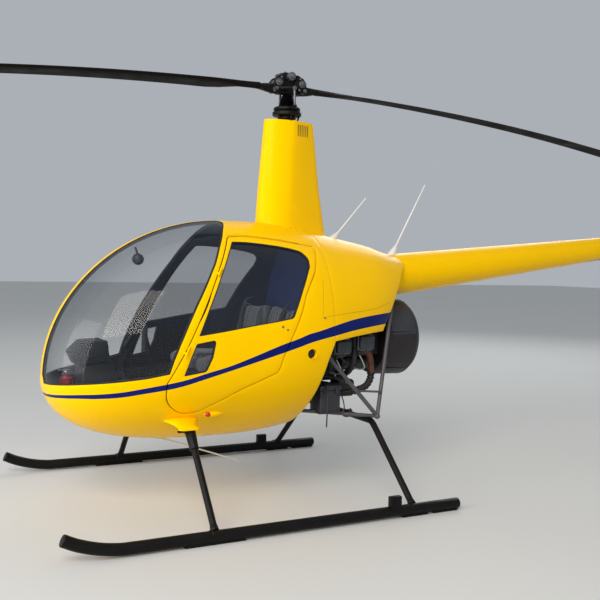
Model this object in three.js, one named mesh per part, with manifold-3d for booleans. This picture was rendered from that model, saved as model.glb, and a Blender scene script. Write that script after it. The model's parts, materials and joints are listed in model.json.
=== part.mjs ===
// A light two-seat helicopter, parked on its skids, in millimetres.
// While it is drawn, X points forward from the rotor mast, Y to port and Z up from the ground.
import * as THREE from 'three';
import { mergeVertices } from 'three/addons/utils/BufferGeometryUtils.js';
import Module from 'manifold-3d';

const wasm = await Module();
wasm.setup();

// Driving dimensions of the fuselage
const NOSE_X = 1552;
const NOSE_Z = 795;
const WIDEST_X = 450;
const FUSELAGE_HALF = 564;
const ROOF_Z = 1735;
const BELLY_Z = 380;
const WIDEST_Z = 900;
const UPPER_FULLNESS = 2.05;
const LOWER_FULLNESS = 2.0;
const SHELL = 20;
const COWL_SHELL = 8;
const SEAM_X = -110;
const TOUCH = 0.3;
const DOOR_GAP = 6;
const POST_HALF = 24;

// Driving dimensions of the rotors, tail and landing gear
const ROTOR_RADIUS = 3835;
const BLADE_CHORD = 183;
const BLADE_THICK = 24;
const ROTOR_TURN = -0.039;
const ROTOR_ROOT_Z = 2616;
const BLADE_DROOP = 0.0267e-3;
const ROTOR_TEETER = 0.0127;
const HUB_TOP_Z = 2720;
const FAIRING_TOP_Z = 2400;
const TAIL_SLOPE = 0.117;
const TAIL_X = -940;
const TAIL_Z = 1417;
const TAIL_FRONT_X = -640;
const TAIL_END_X = -4270;
const TAIL_ROTOR_X = -4385;
const TAIL_ROTOR_RADIUS = 535;
const TAIL_BLADE_CHORD = 102;
const SKID_Y = 940;
const SKID_BORE = 64;
const SHOE = 6;
const STRUT = 40;
const FRONT_TUBE_X = 826;
const REAR_TUBE_X = -428;

const FINISHES = {
  yellow: { color: 0xf6c500, roughness: 0.28, metalness: 0 },
  black: { color: 0x1a1b1d, roughness: 0.45, metalness: 0.1 },
  grey: { color: 0x6f7376, roughness: 0.5, metalness: 0.4 },
  steel: { color: 0x8d9196, roughness: 0.35, metalness: 0.9 },
  exhaust: { color: 0x6b4433, roughness: 0.7, metalness: 0.6 },
  glass: { color: 0xa9c0cc, roughness: 0.05, metalness: 0, transparent: true, opacity: 0.35 },
  cloth: { color: 0x5c6064, roughness: 0.9, metalness: 0 },
  trim: { color: 0x2c3f66, roughness: 0.8, metalness: 0 },
  red: { color: 0xc01818, roughness: 0.3, metalness: 0 },
  white: { color: 0xe8e8e4, roughness: 0.4, metalness: 0 },
};

const group = new THREE.Group();
const finishes = {};
for (const [name, look] of Object.entries(FINISHES)) {
  finishes[name] = new THREE.MeshStandardMaterial(look);
}

// Solids are joined and cut as manifolds and shown as meshes
function solid(geometry) {
  const bare = geometry.index ? geometry.toNonIndexed() : geometry.clone();
  bare.deleteAttribute('normal');
  bare.deleteAttribute('uv');
  const merged = mergeVertices(bare, 1e-3);
  const index = merged.index.array;
  const kept = [];
  for (let i = 0; i < index.length; i += 3) {
    const [a, b, c] = [index[i], index[i + 1], index[i + 2]];
    if (a !== b && b !== c && c !== a) kept.push(a, b, c);
  }
  return new wasm.Manifold(new wasm.Mesh({
    numProp: 3,
    vertProperties: new Float32Array(merged.attributes.position.array),
    triVerts: new Uint32Array(kept),
  }));
}

function add(name, shape, finish) {
  const { vertProperties, triVerts } = shape.getMesh();
  const geometry = new THREE.BufferGeometry();
  geometry.setAttribute('position', new THREE.BufferAttribute(vertProperties, 3));
  geometry.setIndex(new THREE.BufferAttribute(triVerts, 1));
  geometry.computeVertexNormals();
  const mesh = new THREE.Mesh(geometry, finishes[finish]);
  mesh.name = name;
  group.add(mesh);
}

function join(...shapes) {
  return shapes.reduce((whole, piece) => whole.add(piece));
}

function mirrorY(shape) {
  return shape.mirror([0, 1, 0]);
}

// Plain shapes
function block(x, y, z) {
  const [dx, dy, dz] = [x[1] - x[0], y[1] - y[0], z[1] - z[0]];
  const geometry = new THREE.BoxGeometry(dx, dy, dz);
  return solid(geometry.translate(x[0] + dx / 2, y[0] + dy / 2, z[0] + dz / 2));
}

function rod(from, to, width, widthAtEnd = width, sides = 12) {
  const a = new THREE.Vector3(...from);
  const b = new THREE.Vector3(...to);
  const along = b.clone().sub(a);
  const geometry = new THREE.CylinderGeometry(widthAtEnd / 2, width / 2, along.length(), sides);
  const upright = new THREE.Vector3(0, 1, 0);
  geometry.applyQuaternion(new THREE.Quaternion().setFromUnitVectors(upright, along.clone().normalize()));
  geometry.translate(...a.add(b).multiplyScalar(0.5).toArray());
  return solid(geometry);
}

function roundShape(width, sides) {
  const points = [];
  for (let i = 0; i < sides; i += 1) {
    const angle = (2 * Math.PI * i) / sides;
    points.push(new THREE.Vector2(Math.cos(angle) * width / 2, Math.sin(angle) * width / 2));
  }
  return new THREE.Shape(points);
}

function bentTube(points, width, steps = 24, sides = 10) {
  const path = new THREE.CatmullRomCurve3(points.map((p) => new THREE.Vector3(...p)), false, 'centripetal');
  return solid(new THREE.ExtrudeGeometry(roundShape(width, sides), { steps, extrudePath: path }));
}

// An outline of [x, z] points, as a slab between two values of Y
function slab(outline, y0, y1) {
  const shape = new THREE.Shape(outline.map(([x, z]) => new THREE.Vector2(x, z)));
  const geometry = new THREE.ExtrudeGeometry(shape, { depth: y1 - y0, bevelEnabled: false });
  return solid(geometry.rotateX(Math.PI / 2).translate(0, y1, 0));
}

// The same outline, moved out by a margin (or in, where it is negative)
function grown(outline, margin) {
  const points = outline.map((p) => new THREE.Vector2(...p));
  const turn = Math.sign(THREE.ShapeUtils.area(points));
  return points.map((p, i) => {
    const before = points[(i + points.length - 1) % points.length];
    const after = points[(i + 1) % points.length];
    const a = p.clone().sub(before).normalize();
    const b = after.clone().sub(p).normalize();
    const normal = new THREE.Vector2(a.y + b.y, -a.x - b.x).normalize().multiplyScalar(turn);
    const stretch = 1 / Math.max(0.35, normal.dot(new THREE.Vector2(a.y, -a.x).multiplyScalar(turn)));
    return [p.x + normal.x * margin * stretch, p.y + normal.y * margin * stretch];
  });
}

// The same outline with its corners cut back by arcs; each point is [x, z, radius]
function rounded(outline, steps = 4) {
  const result = [];
  outline.forEach(([x, z, radius = 0], i) => {
    const p = new THREE.Vector2(x, z);
    if (radius === 0) {
      result.push([x, z]);
      return;
    }
    const before = outline[(i + outline.length - 1) % outline.length];
    const after = outline[(i + 1) % outline.length];
    const start = new THREE.Vector2(before[0] - x, before[1] - z).setLength(radius).add(p);
    const end = new THREE.Vector2(after[0] - x, after[1] - z).setLength(radius).add(p);
    const bend = new THREE.QuadraticBezierCurve(start, p, end);
    bend.getPoints(steps).forEach((q) => result.push([q.x, q.y]));
  });
  return result;
}

// Rings of points with the same count, closed at both ends
function loft(rings) {
  const count = rings[0].length;
  const corners = [];
  const push = (...points) => points.forEach((p) => corners.push(...p));
  const middle = (ring) => [0, 1, 2].map((k) => ring.reduce((sum, p) => sum + p[k], 0) / count);
  for (let i = 0; i + 1 < rings.length; i += 1) {
    for (let j = 0; j < count; j += 1) {
      const k = (j + 1) % count;
      push(rings[i][j], rings[i][k], rings[i + 1][k]);
      push(rings[i][j], rings[i + 1][k], rings[i + 1][j]);
    }
  }
  const [first, last] = [rings[0], rings[rings.length - 1]];
  for (let j = 0; j < count; j += 1) {
    const k = (j + 1) % count;
    push(middle(first), first[k], first[j]);
    push(middle(last), last[j], last[k]);
  }
  const geometry = new THREE.BufferGeometry();
  geometry.setAttribute('position', new THREE.Float32BufferAttribute(corners, 3));
  const shape = solid(geometry);
  if (shape.volume() > 0) return shape;
  const flipped = corners.slice();
  for (let i = 0; i < corners.length; i += 9) {
    for (let k = i + 3; k < i + 6; k += 1) [flipped[k], flipped[k + 3]] = [corners[k + 3], corners[k]];
  }
  geometry.setAttribute('position', new THREE.Float32BufferAttribute(flipped, 3));
  return solid(geometry);
}

// Fuselage sections aft of the widest one; columns: x, half width, top, widest height, bottom
const AFT_SECTIONS = [
  [-900, 158, 1532, 1400, 1270],
  [-750, 262, 1562, 1280, 980],
  [-600, 352, 1604, 1180, 720],
  [-300, 468, 1660, 1040, 520],
  [-50, 538, 1709, 960, 440],
  [200, 561, 1734, 915, 396],
  [450, FUSELAGE_HALF, ROOF_Z, WIDEST_Z, BELLY_Z],
  [700, FUSELAGE_HALF, ROOF_Z, WIDEST_Z, BELLY_Z],
];
const aft = new THREE.CubicInterpolant(
  AFT_SECTIONS.map((row) => row[0]),
  AFT_SECTIONS.flatMap((row) => row.slice(1)),
  4,
);

// Half width, top, widest height and bottom of the fuselage at x
function section(x) {
  if (x < WIDEST_X) return Array.from(aft.evaluate(x));
  const s = Math.min(1, (x - WIDEST_X) / (NOSE_X - WIDEST_X));
  return [
    FUSELAGE_HALF * (1 - s ** 2.55) ** (1 / 2.3),
    NOSE_Z + (ROOF_Z - NOSE_Z) * (1 - s ** 2) ** (1 / 1.93),
    NOSE_Z + (WIDEST_Z - NOSE_Z) * (1 - s ** 2),
    NOSE_Z - (NOSE_Z - BELLY_Z) * (1 - s ** 3.2) ** (1 / 2.3),
  ];
}

// How far outside the fuselage a point is: 0 on the skin
function outside(x, y, z) {
  const [half, top, mid, bottom] = section(x);
  const upper = z >= mid;
  const rise = upper ? (z - mid) / (top - mid) : (mid - z) / (mid - bottom);
  const power = upper ? UPPER_FULLNESS : LOWER_FULLNESS;
  return Math.abs(y / half) ** power + Math.abs(rise) ** power;
}

// Half the width of the fuselage at a height
function skinY(x, z) {
  const [half, top, mid, bottom] = section(x);
  const upper = z >= mid;
  const rise = upper ? (z - mid) / (top - mid) : (mid - z) / (mid - bottom);
  const power = upper ? UPPER_FULLNESS : LOWER_FULLNESS;
  return half * (1 - rise ** power) ** (1 / power);
}

// A point of the skin, moved in along the surface's normal
function skinPoint(x, angle, inset) {
  const [half, top, mid, bottom] = section(x);
  const [c, s] = [Math.cos(angle), Math.sin(angle)];
  const power = s >= 0 ? UPPER_FULLNESS : LOWER_FULLNESS;
  const y = half * Math.sign(c) * Math.abs(c) ** (2 / power);
  const z = mid + (s >= 0 ? top - mid : mid - bottom) * Math.sign(s) * Math.abs(s) ** (2 / power);
  if (inset === 0) return [x, y, z];
  const h = 0.5;
  const normal = new THREE.Vector3(
    outside(x + h, y, z) - outside(x - h, y, z),
    outside(x, y + h, z) - outside(x, y - h, z),
    outside(x, y, z + h) - outside(x, y, z - h),
  ).setLength(inset);
  return [x - normal.x, y - normal.y, z - normal.z];
}

const RING_POINTS = 28;
const NOSE_RINGS = 8;
const AFT_RINGS = [-900, -800, -700, -600, -475, -325, -175, -25, 150, 300];

// The whole fuselage as one solid, its skin moved in by an inset
function hull(inset) {
  const stations = AFT_RINGS.slice();
  for (let i = 0; i < NOSE_RINGS; i += 1) {
    const angle = (Math.PI / 2) * (i / NOSE_RINGS);
    stations.push(WIDEST_X + (NOSE_X - WIDEST_X) * Math.sin(angle));
  }
  const rings = stations.map((x) => {
    const ring = [];
    for (let j = 0; j < RING_POINTS; j += 1) {
      ring.push(skinPoint(x, (2 * Math.PI * (j + 0.5)) / RING_POINTS, inset));
    }
    return ring;
  });
  const tip = [NOSE_X - inset, 0, NOSE_Z];
  rings.push(rings[0].map(() => tip));
  return loft(rings);
}

const outer = hull(0);
const inner = hull(SHELL);
const cabinSkin = outer.subtract(inner);
const cowlSkin = outer.subtract(hull(COWL_SHELL));
const FAR = 900;

// Side-view outlines; columns: x, z, corner radius
const WINDSHIELD = [
  [440, 1900], [483, 1720], [526, 1669], [593, 1558], [641, 1465], [679, 1402], [732, 1310],
  [785, 1219], [835, 1122], [888, 1008], [925, 919], [950, 842, 10], [1074, 817], [1240, 795],
  [1395, 778], [1490, 765], [1529, 758], [1700, 744], [1700, 1900],
];
const DOOR = [
  [520, 1622, 14], [443, 1629], [373, 1627], [269, 1619], [161, 1607], [51, 1592], [-58, 1577, 18],
  [-40, 1523], [-26, 1480], [2, 1420], [48, 1355], [92, 1285], [124, 1200], [160, 1125],
  [216, 1018], [266, 917], [282, 868, 16], [298, 833, 14], [403, 789], [495, 751], [563, 717],
  [623, 684], [700, 646], [756, 613, 24], [865, 599, 60], [958, 684, 50], [957, 790], [856, 972],
  [630, 1421],
];
const DOOR_WINDOW = [
  [506, 1596, 10], [415, 1596], [319, 1589], [213, 1578], [135, 1566], [60, 1549, 20],
  [18, 1505, 24], [26, 1455], [50, 1415], [107, 1311], [188, 1147, 18], [303, 1127], [464, 1104],
  [627, 1077], [786, 1053, 8], [715, 1211], [629, 1383], [552, 1522],
];
const LOWER_WINDOW = [
  [800, 1010, 8], [684, 1031, 24], [706, 931], [743, 852, 14], [871, 830, 10], [832, 934],
];
const ENGINE_BAY = [
  [90, 200], [30, 540], [-21, 742], [-60, 886], [-112, 1002], [-283, 1024], [-445, 1038],
  [-560, 1044], [-577, 1083], [-620, 1148], [-662, 1214], [-733, 1325], [-783, 1393],
  [-869, 1481], [-960, 1560], [-1200, 1590], [-1200, 200],
];
const FIREWALL = [
  [84, 420], [66, 550], [-90, 1028], [-99, 1100], [-99, 1750], [-107, 1750], [-107, 1100], [-99, 1025],
  [58, 545], [76, 420],
];

// Windshield: two panes either side of a centre post
const glassSkin = hull(4).subtract(hull(8));
const windshieldSide = slab(WINDSHIELD, POST_HALF, FAR);
const windshieldPane = slab(grown(rounded(WINDSHIELD), -TOUCH), POST_HALF + TOUCH, FAR);
const pane = glassSkin.intersect(windshieldPane);
add('windshield_left', pane, 'glass');
add('windshield_right', mirrorY(pane), 'glass');

// Doors: a shell piece with two windows, hung on the slanted front post
const doorRaw = rounded(DOOR);
const KNUCKLE = 18;
const KNUCKLE_LENGTH = 34;
const KNUCKLE_PLAY = 1;
const HINGE_PROUD = 22;
const HINGE_ARM = 7;
const [HINGE_LOW, HINGE_HIGH] = [[856, 972], [630, 1421]].map(([x, z]) => {
  const onSeam = x + DOOR_GAP / 2;
  return [onSeam, skinY(onSeam, z) + HINGE_PROUD, z];
});
const hingeLine = new THREE.Vector3(...HINGE_HIGH).sub(new THREE.Vector3(...HINGE_LOW)).normalize();

function alongHinge(base, distance) {
  return new THREE.Vector3(...base).addScaledVector(hingeLine, distance).toArray();
}

// The leaf is stepped: its inner half is smaller, so that its edge clears the opening as it swings
const DOOR_STEP = 7;
const outerHalf = outer.subtract(hull(SHELL / 2));
const doorLeaf = join(
  outerHalf.intersect(slab(doorRaw, 0, FAR)),
  cabinSkin.intersect(slab(grown(doorRaw, -DOOR_STEP), 0, FAR)),
);
const windowPane = hull(8).subtract(hull(11));
let leftDoor = doorLeaf.subtract(slab(grown(rounded(DOOR_WINDOW), TOUCH), 0, FAR));
leftDoor = leftDoor.subtract(slab(grown(rounded(LOWER_WINDOW), TOUCH), 0, FAR));
// Each hinge has an upper barrel on the door and a lower one on the post, each on its own arm
function barrels(sign, play) {
  const [from, to] = [TOUCH - play, KNUCKLE_LENGTH + play].map((distance) => sign * distance);
  const width = KNUCKLE + 2 * play;
  return join(...[HINGE_LOW, HINGE_HIGH].flatMap((base) => {
    const middle = alongHinge(base, (from + to) / 2);
    const foot = [middle[0] - sign * HINGE_ARM, middle[1] - HINGE_PROUD - 10, middle[2] - sign * 6];
    return [
      rod(alongHinge(base, from), alongHinge(base, to), width, width, 10),
      rod(middle, foot, 14 + 2 * play, 18 + 2 * play, 8),
    ];
  }));
}

leftDoor = leftDoor.subtract(barrels(-1, KNUCKLE_PLAY)).add(barrels(1, 0));
const upperPane = windowPane.intersect(slab(rounded(DOOR_WINDOW), 0, FAR));
const lowerPane = windowPane.intersect(slab(rounded(LOWER_WINDOW), 0, FAR));
for (const [side, turn] of [['left', (s) => s], ['right', mirrorY]]) {
  add(`door_${side}`, turn(leftDoor), 'yellow');
  add(`door_window_${side}`, turn(upperPane), 'glass');
  add(`door_lower_window_${side}`, turn(lowerPane), 'glass');
}

// Cabin shell: nose, belly, roof and posts in one, open at the windshield, doors and rear.
// Each front strut enters it through a tapered cuff, and the landing lamp sits in the nose.
const STRUT_FOOT = [FRONT_TUBE_X, SKID_Y, SHOE + SKID_BORE / 2 + 10];
const FRONT_TOP = [FRONT_TUBE_X, 420, 630];
const onStrut = (share) => STRUT_FOOT.map((value, i) => value + (FRONT_TOP[i] - value) * share);
const CUFF_END = onStrut(0.8);
const CUFF_START = onStrut(0.98);
const CUFF = [64, 84];
const UNDER_DOOR = 24;
const LAMP = 60;
const LAMP_Z = 660;
const bothSides = (shape) => join(shape, mirrorY(shape));
const VENT = [67, 932];
const VENT_BORE = 62;
let cabin = cabinSkin.intersect(block([SEAM_X + TOUCH, 1700], [-FAR, FAR], [200, 1900]));
cabin = cabin.subtract(slab(ENGINE_BAY, -FAR, FAR));
cabin = cabin.subtract(bothSides(windshieldSide));
cabin = cabin.subtract(bothSides(slab(grown(doorRaw, DOOR_GAP), 0, FAR)));
const VENT_RIM = VENT_BORE + 16;
const acrossVent = (y0, y1, width) => rod([VENT[0], y0, VENT[1]], [VENT[0], y1, VENT[1]], width, width, 20);
const ventRim = acrossVent(530, 556, VENT_RIM);
const ventBore = acrossVent(480, 600, VENT_BORE);
cabin = cabin.add(bothSides(ventRim)).subtract(bothSides(ventBore));
cabin = cabin.subtract(bothSides(barrels(1, KNUCKLE_PLAY))).add(bothSides(barrels(-1, 0)));
const underDoor = slab(grown(doorRaw, UNDER_DOOR), 0, FAR);
const cuff = rod(CUFF_END, CUFF_START, CUFF[0], CUFF[1]).subtract(hull(1)).subtract(underDoor);
const strutSpace = rod(STRUT_FOOT, FRONT_TOP, STRUT + 2 * TOUCH).subtract(outer);
cabin = cabin.add(bothSides(cuff)).subtract(bothSides(strutSpace));
const lampBore = rod([1400, 0, LAMP_Z], [1600, 0, LAMP_Z], LAMP + 2 * TOUCH, LAMP + 2 * TOUCH, 16);
add('cabin_shell', cabin.subtract(lampBore), 'yellow');
const lamp = rod([1455, 0, LAMP_Z], [1600, 0, LAMP_Z], LAMP, LAMP, 16);
add('landing_lamp', lamp.intersect(hull(3)), 'glass');

// Firewall and floor, fitted inside the cabin shell
const cabinSpace = hull(SHELL + TOUCH);
const FLOOR_Z = 480;
const FLOOR_THICK = 12;
const FLOOR_X = [90, 1370];
add('firewall', cabinSpace.intersect(slab(FIREWALL, -FAR, FAR)), 'trim');
const floorSlab = block(FLOOR_X, [-FAR, FAR], [FLOOR_Z - FLOOR_THICK, FLOOR_Z]);
add('cabin_floor', cabinSpace.intersect(floorSlab), 'black');

// Seats: one moulded base with a tunnel between, and a cushion and back on each side
const SEAT_Y = [36, 456];
const SEAT_BASE = [[118, 480], [118, 760], [640, 790], [660, 700], [600, 480]];
const TUNNEL = [[118, 480], [118, 660], [600, 660], [590, 480]];
const CUSHION = [[190, 764.6, 10], [190, 850, 30], [600, 880, 30], [652, 846, 20], [640, 790.5, 10]];
const SEAT_BACK = [[36, 1205, 25], [108, 1218, 30], [189.4, 868, 20], [189.4, 764.6, 6], [120, 760.6, 10]];
const BACK_INSET = 20;
const halfBase = slab(grown(SEAT_BASE, -TOUCH), SEAT_Y[0], SEAT_Y[1] - 36);
const tunnel = slab(grown(TUNNEL, -TOUCH), -SEAT_Y[0] - 1, SEAT_Y[0] + 1);
add('seat_base', cabinSpace.intersect(join(halfBase, mirrorY(halfBase), tunnel)), 'black');
const cushion = slab(rounded(CUSHION, 3), SEAT_Y[0], SEAT_Y[1]);
const back = slab(rounded(SEAT_BACK, 3), SEAT_Y[0], SEAT_Y[1] - BACK_INSET);
for (const [side, turn] of [['left', (shape) => shape], ['right', mirrorY]]) {
  add(`seat_cushion_${side}`, turn(cushion), 'cloth');
  add(`seat_back_${side}`, turn(back), 'cloth');
}

// Console with its instrument head and foot pedals, and the stick between the seats with its two grips
const CONSOLE = [[1090, 480.3], [1120, 800], [1180, 900], [1330, 880], [1335, 700], [1290, 480.3]];
const HEAD = [[1175, 870], [1192, 998], [1325, 992], [1396, 925], [1360, 850]];
const HEAD_HALF = 108;
const PEDAL_Y = [142, 226];
const PEDAL_BAR = [1190, 520];
const [pedalX, pedalZ] = PEDAL_BAR;
const pedals = PEDAL_Y.flatMap((y) => [
  rod([pedalX, y, pedalZ], [pedalX + 25, y, pedalZ + 130], 16),
  block([pedalX + 10, pedalX + 34], [y - 32, y + 32], [pedalZ + 110, pedalZ + 150]),
]);
const pedalBar = rod([pedalX, 80, pedalZ], [pedalX, PEDAL_Y[1] + 10, pedalZ], 24);
const pedalSet = join(pedalBar, ...pedals);
const consolePiece = join(slab(CONSOLE, -95, 95), slab(HEAD, -HEAD_HALF, HEAD_HALF), pedalSet, mirrorY(pedalSet));
add('instrument_console', cabinSpace.intersect(consolePiece), 'black');
const BAR_Z = 1075;
const BAR_X = 955;
const BAR_HALF = 60;
const STICK_X = 840;
const GRIP_FOOT = [1000, 200, 925];
const grip = rod([BAR_X, BAR_HALF - 5, BAR_Z + 5], GRIP_FOOT, 34);
const stick = join(
  rod([STICK_X, 0, 480.3], [STICK_X, 0, 700], 60),
  rod([STICK_X, 0, 690], [BAR_X, 0, BAR_Z], 30),
  rod([BAR_X, -BAR_HALF, BAR_Z], [BAR_X, BAR_HALF, BAR_Z], 26),
  bothSides(grip),
);
add('control_stick', stick, 'black');
const COMPASS = [986, 1480];
const compass = join(
  solid(new THREE.SphereGeometry(38, 8, 6).translate(COMPASS[0], 0, COMPASS[1])),
  rod([COMPASS[0], 0, COMPASS[1]], [COMPASS[0], 0, COMPASS[1] + 150], 14),
);
add('compass', cabinSpace.intersect(compass), 'black');

// Mast fairing; columns: z, front x, widest x, half width, rear x, half width at the rear
const FAIRING_SECTIONS = [
  [1640, 212, 40, 118, -300, 34],
  [1970, 194, 10, 96, -243, 24],
  [FAIRING_TOP_Z, 162, -20, 74, -189, 16],
];
const FAIRING_SHELL = 7;

function fairingRing([z, front, widest, half, rear, rearHalf], inset) {
  const side = [];
  const [nose, width] = [front - inset, half - inset];
  for (let i = 0; i <= 8; i += 1) {
    const angle = (Math.PI / 2) * (i / 8);
    side.push([widest + (nose - widest) * Math.cos(angle), width * Math.sin(angle), z]);
  }
  side.push([rear + inset, rearHalf - inset, z]);
  const other = side.slice(1).reverse().map(([x, y]) => [x, -y, z]);
  return [...side, ...other];
}

const fairingOuter = loft(FAIRING_SECTIONS.map((row) => fairingRing(row, 0)));
const fairingInner = loft(FAIRING_SECTIONS.map((row) => {
  const grownRow = row.slice();
  grownRow[0] += row[0] === FAIRING_TOP_Z ? 10 : row[0] === 1640 ? -10 : 0;
  return fairingRing(grownRow, FAIRING_SHELL);
}));
add('mast_fairing', fairingOuter.subtract(fairingInner).subtract(hull(-TOUCH)), 'yellow');

// Fixed mast tube with the lower swashplate, standing on the roof inside the fairing
const SHAFT = 52;
const MAST_TUBE = 84;
const MAST_TUBE_TOP = 2440;
const SWASH_Z = [2456, 2486, 2516];
const tubeBore = rod([0, 0, MAST_TUBE_TOP], [0, 0, 2600], SHAFT + 12, SHAFT + 12, 16);
const mastTube = join(
  rod([0, 0, 1680], [0, 0, SWASH_Z[0] + 10], MAST_TUBE, MAST_TUBE, 16),
  rod([0, 0, SWASH_Z[0]], [0, 0, SWASH_Z[1]], 190, 190, 20),
).subtract(hull(-TOUCH)).subtract(tubeBore);
add('mast_tube', mastTube, 'grey');

// Rotor head: the shaft with the upper swashplate, hub, grips and pitch links
function turned([x, y, z]) {
  const [c, s] = [Math.cos(ROTOR_TURN), Math.sin(ROTOR_TURN)];
  return [x * c - y * s, x * s + y * c, z];
}

const turnedRod = (from, to, ...rest) => rod(turned(from), turned(to), ...rest);
const HUB_Z = 2646;
const HORN_Y = 96;
const HUB_REACH = 150;
const headPieces = [
  rod([0, 0, MAST_TUBE_TOP + TOUCH], [0, 0, HUB_TOP_Z - 60], SHAFT, SHAFT, 16),
  rod([0, 0, SWASH_Z[1] + 6], [0, 0, SWASH_Z[2]], 170, 170, 16),
  turnedRod([0, -126, 2504], [0, 126, 2504], 22, 22, 8),
  rod([0, 0, HUB_Z - 60], [0, 0, HUB_TOP_Z], 92, 92, 12),
  turnedRod([-HUB_REACH, 0, HUB_Z], [HUB_REACH, 0, HUB_Z], 74, 74, 10),
  turnedRod([0, -95, HUB_Z + 10], [0, 95, HUB_Z + 10], 58, 58, 10),
];
for (const side of [1, -1]) {
  headPieces.push(
    turnedRod([side * 120, -62, HUB_Z], [side * 120, 62, HUB_Z], 44, 44, 8),
    turnedRod([0, side * 118, 2504], [side * 110, side * HORN_Y, HUB_Z - 8], 14, 14, 6),
    turnedRod([side * 110, side * (HORN_Y + 8), HUB_Z - 8], [side * 120, side * 40, HUB_Z - 8], 22, 22, 6),
  );
}
const head = join(...headPieces);
add('rotor_head', head, 'black');

// Blade sections; columns: distance from the mast, chord, thickness, twist in degrees
const BLADE_SECTIONS = [
  [HUB_REACH + TOUCH, 80, 52, 8],
  [290, 84, 44, 8],
  [500, BLADE_CHORD, BLADE_THICK, 7],
  [1150, BLADE_CHORD, BLADE_THICK, 5.5],
  [1900, BLADE_CHORD, BLADE_THICK, 4],
  [2700, BLADE_CHORD, BLADE_THICK, 2.5],
  [3300, BLADE_CHORD, BLADE_THICK, 1],
  [ROTOR_RADIUS, BLADE_CHORD, BLADE_THICK, 0],
];
// A symmetrical aerofoil; columns: share of the chord from the nose, share of the half thickness
const AEROFOIL = [[0, 0], [0.03, 0.45], [0.12, 0.85], [0.35, 1], [0.65, 0.68], [1, 0.06]];
const QUARTER = 0.25;

function aerofoilRing(chord, thick) {
  const upper = AEROFOIL.map(([c, t]) => [(QUARTER - c) * chord, (t * thick) / 2]);
  const lower = AEROFOIL.slice(1).reverse().map(([c, t]) => [(QUARTER - c) * chord, -t * thick / 2]);
  return [...upper, ...lower];
}

function bladeHeight(radius, side) {
  return ROTOR_ROOT_Z - BLADE_DROOP * radius * radius + side * ROTOR_TEETER * radius;
}

for (const [name, side] of [['main_blade_fore', 1], ['main_blade_aft', -1]]) {
  const rings = BLADE_SECTIONS.map(([radius, chord, thick, twist]) => {
    const pitch = THREE.MathUtils.degToRad(twist);
    return aerofoilRing(chord, thick).map(([ahead, up]) => turned([
      side * radius,
      side * (ahead * Math.cos(pitch) - up * Math.sin(pitch)),
      bladeHeight(radius, side) + ahead * Math.sin(pitch) + up * Math.cos(pitch),
    ]));
  });
  add(name, loft(rings), 'black');
}

// Tail cone: a tapered tube, open at the front, from inside the cowl to the tail gearbox
const tailAngle = Math.atan(TAIL_SLOPE);
const tailZ = (x) => TAIL_Z + (TAIL_X - x) * TAIL_SLOPE;
const tailRadius = (x) => (x > TAIL_X ? 144 : 144 - (TAIL_X - x) * 0.0282);
const TAIL_SKIN = 5;
const toLength = (x) => (TAIL_FRONT_X - x) / Math.cos(tailAngle);

// A solid of revolution round the cone's axis; columns: x, radius
function alongTail(profile) {
  const points = profile.map(([x, radius]) => new THREE.Vector2(radius, toLength(x)));
  const lathe = new THREE.LatheGeometry(points, 24);
  lathe.rotateZ(Math.PI / 2 - tailAngle).translate(TAIL_FRONT_X, 0, 0);
  lathe.rotateX(Math.PI / 2);
  return solid(lathe.translate(0, 0, tailZ(TAIL_FRONT_X)));
}

const coneStations = [TAIL_FRONT_X, TAIL_X, TAIL_END_X];
const coneOuter = coneStations.map((x) => [x, tailRadius(x)]);
const CONE_CAP = 30;
const coneInner = coneOuter.map(([x, radius]) => [x === TAIL_END_X ? x + CONE_CAP : x, radius - TAIL_SKIN]);
const coneCap = [[TAIL_END_X, 0], [TAIL_END_X + CONE_CAP, 0]];
add('tail_cone', alongTail([...coneOuter, ...coneCap, ...coneInner.reverse(), coneOuter[0]]), 'yellow');
const coneSpace = alongTail([
  [TAIL_FRONT_X, 0],
  ...coneOuter.map(([x, radius]) => [x, radius + TOUCH]),
  [TAIL_END_X - TOUCH / 2, 0],
]);

// Engine cowl behind the cabin, open below and cut round the tail cone
let cowl = cowlSkin.intersect(block([-1000, SEAM_X], [-FAR, FAR], [900, 1900]));
cowl = cowl.subtract(slab(ENGINE_BAY, -FAR, FAR)).subtract(coneSpace);
add('aft_cowl', cowl, 'yellow');

// Fins and stabiliser; columns: place along the span, nose of the section, chord, thickness
const UPPER_FIN = [[1790, -4000, 330, 26], [1850, -4040, 320, 26], [2330, -4470, 240, 18]];
const LOWER_FIN = [[1385, -4310, 200, 16], [1760, -4050, 290, 24], [1800, -4020, 300, 24]];
const STABILISER = [[-720, -4010, 240, 18], [-60, -3965, 280, 26], [0, -3965, 280, 26]];

const gearEnd = TAIL_ROTOR_X - 60;
const gearAxis = [[TAIL_END_X + 5, 0, tailZ(TAIL_END_X)], [gearEnd - 30, 0, tailZ(gearEnd)]];
const gearSpace = rod(...gearAxis, 102, 102, 16);

function wing(rows, place) {
  const rings = rows.map(([span, nose, chord, thick]) => (
    aerofoilRing(chord, thick).map(([ahead, side]) => place(nose - QUARTER * chord + ahead, side, span))));
  return loft(rings);
}

const standing = (x, side, span) => [x, side, span];
const level = (x, side, span) => [x, span, tailZ(-4200) + side];
const tailSpace = join(coneSpace, gearSpace);
add('fin_upper', wing(UPPER_FIN, standing).subtract(tailSpace), 'yellow');
const tailSkid = bentTube([[-4400, 0, 1400], [-4460, 0, 1320], [-4540, 0, 1240], [-4640, 0, 1190]], 22, 8, 8);
add('fin_lower', join(wing(LOWER_FIN, standing), tailSkid).subtract(tailSpace), 'yellow');
add('stabiliser', wing(STABILISER, level).subtract(coneSpace), 'yellow');

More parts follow.
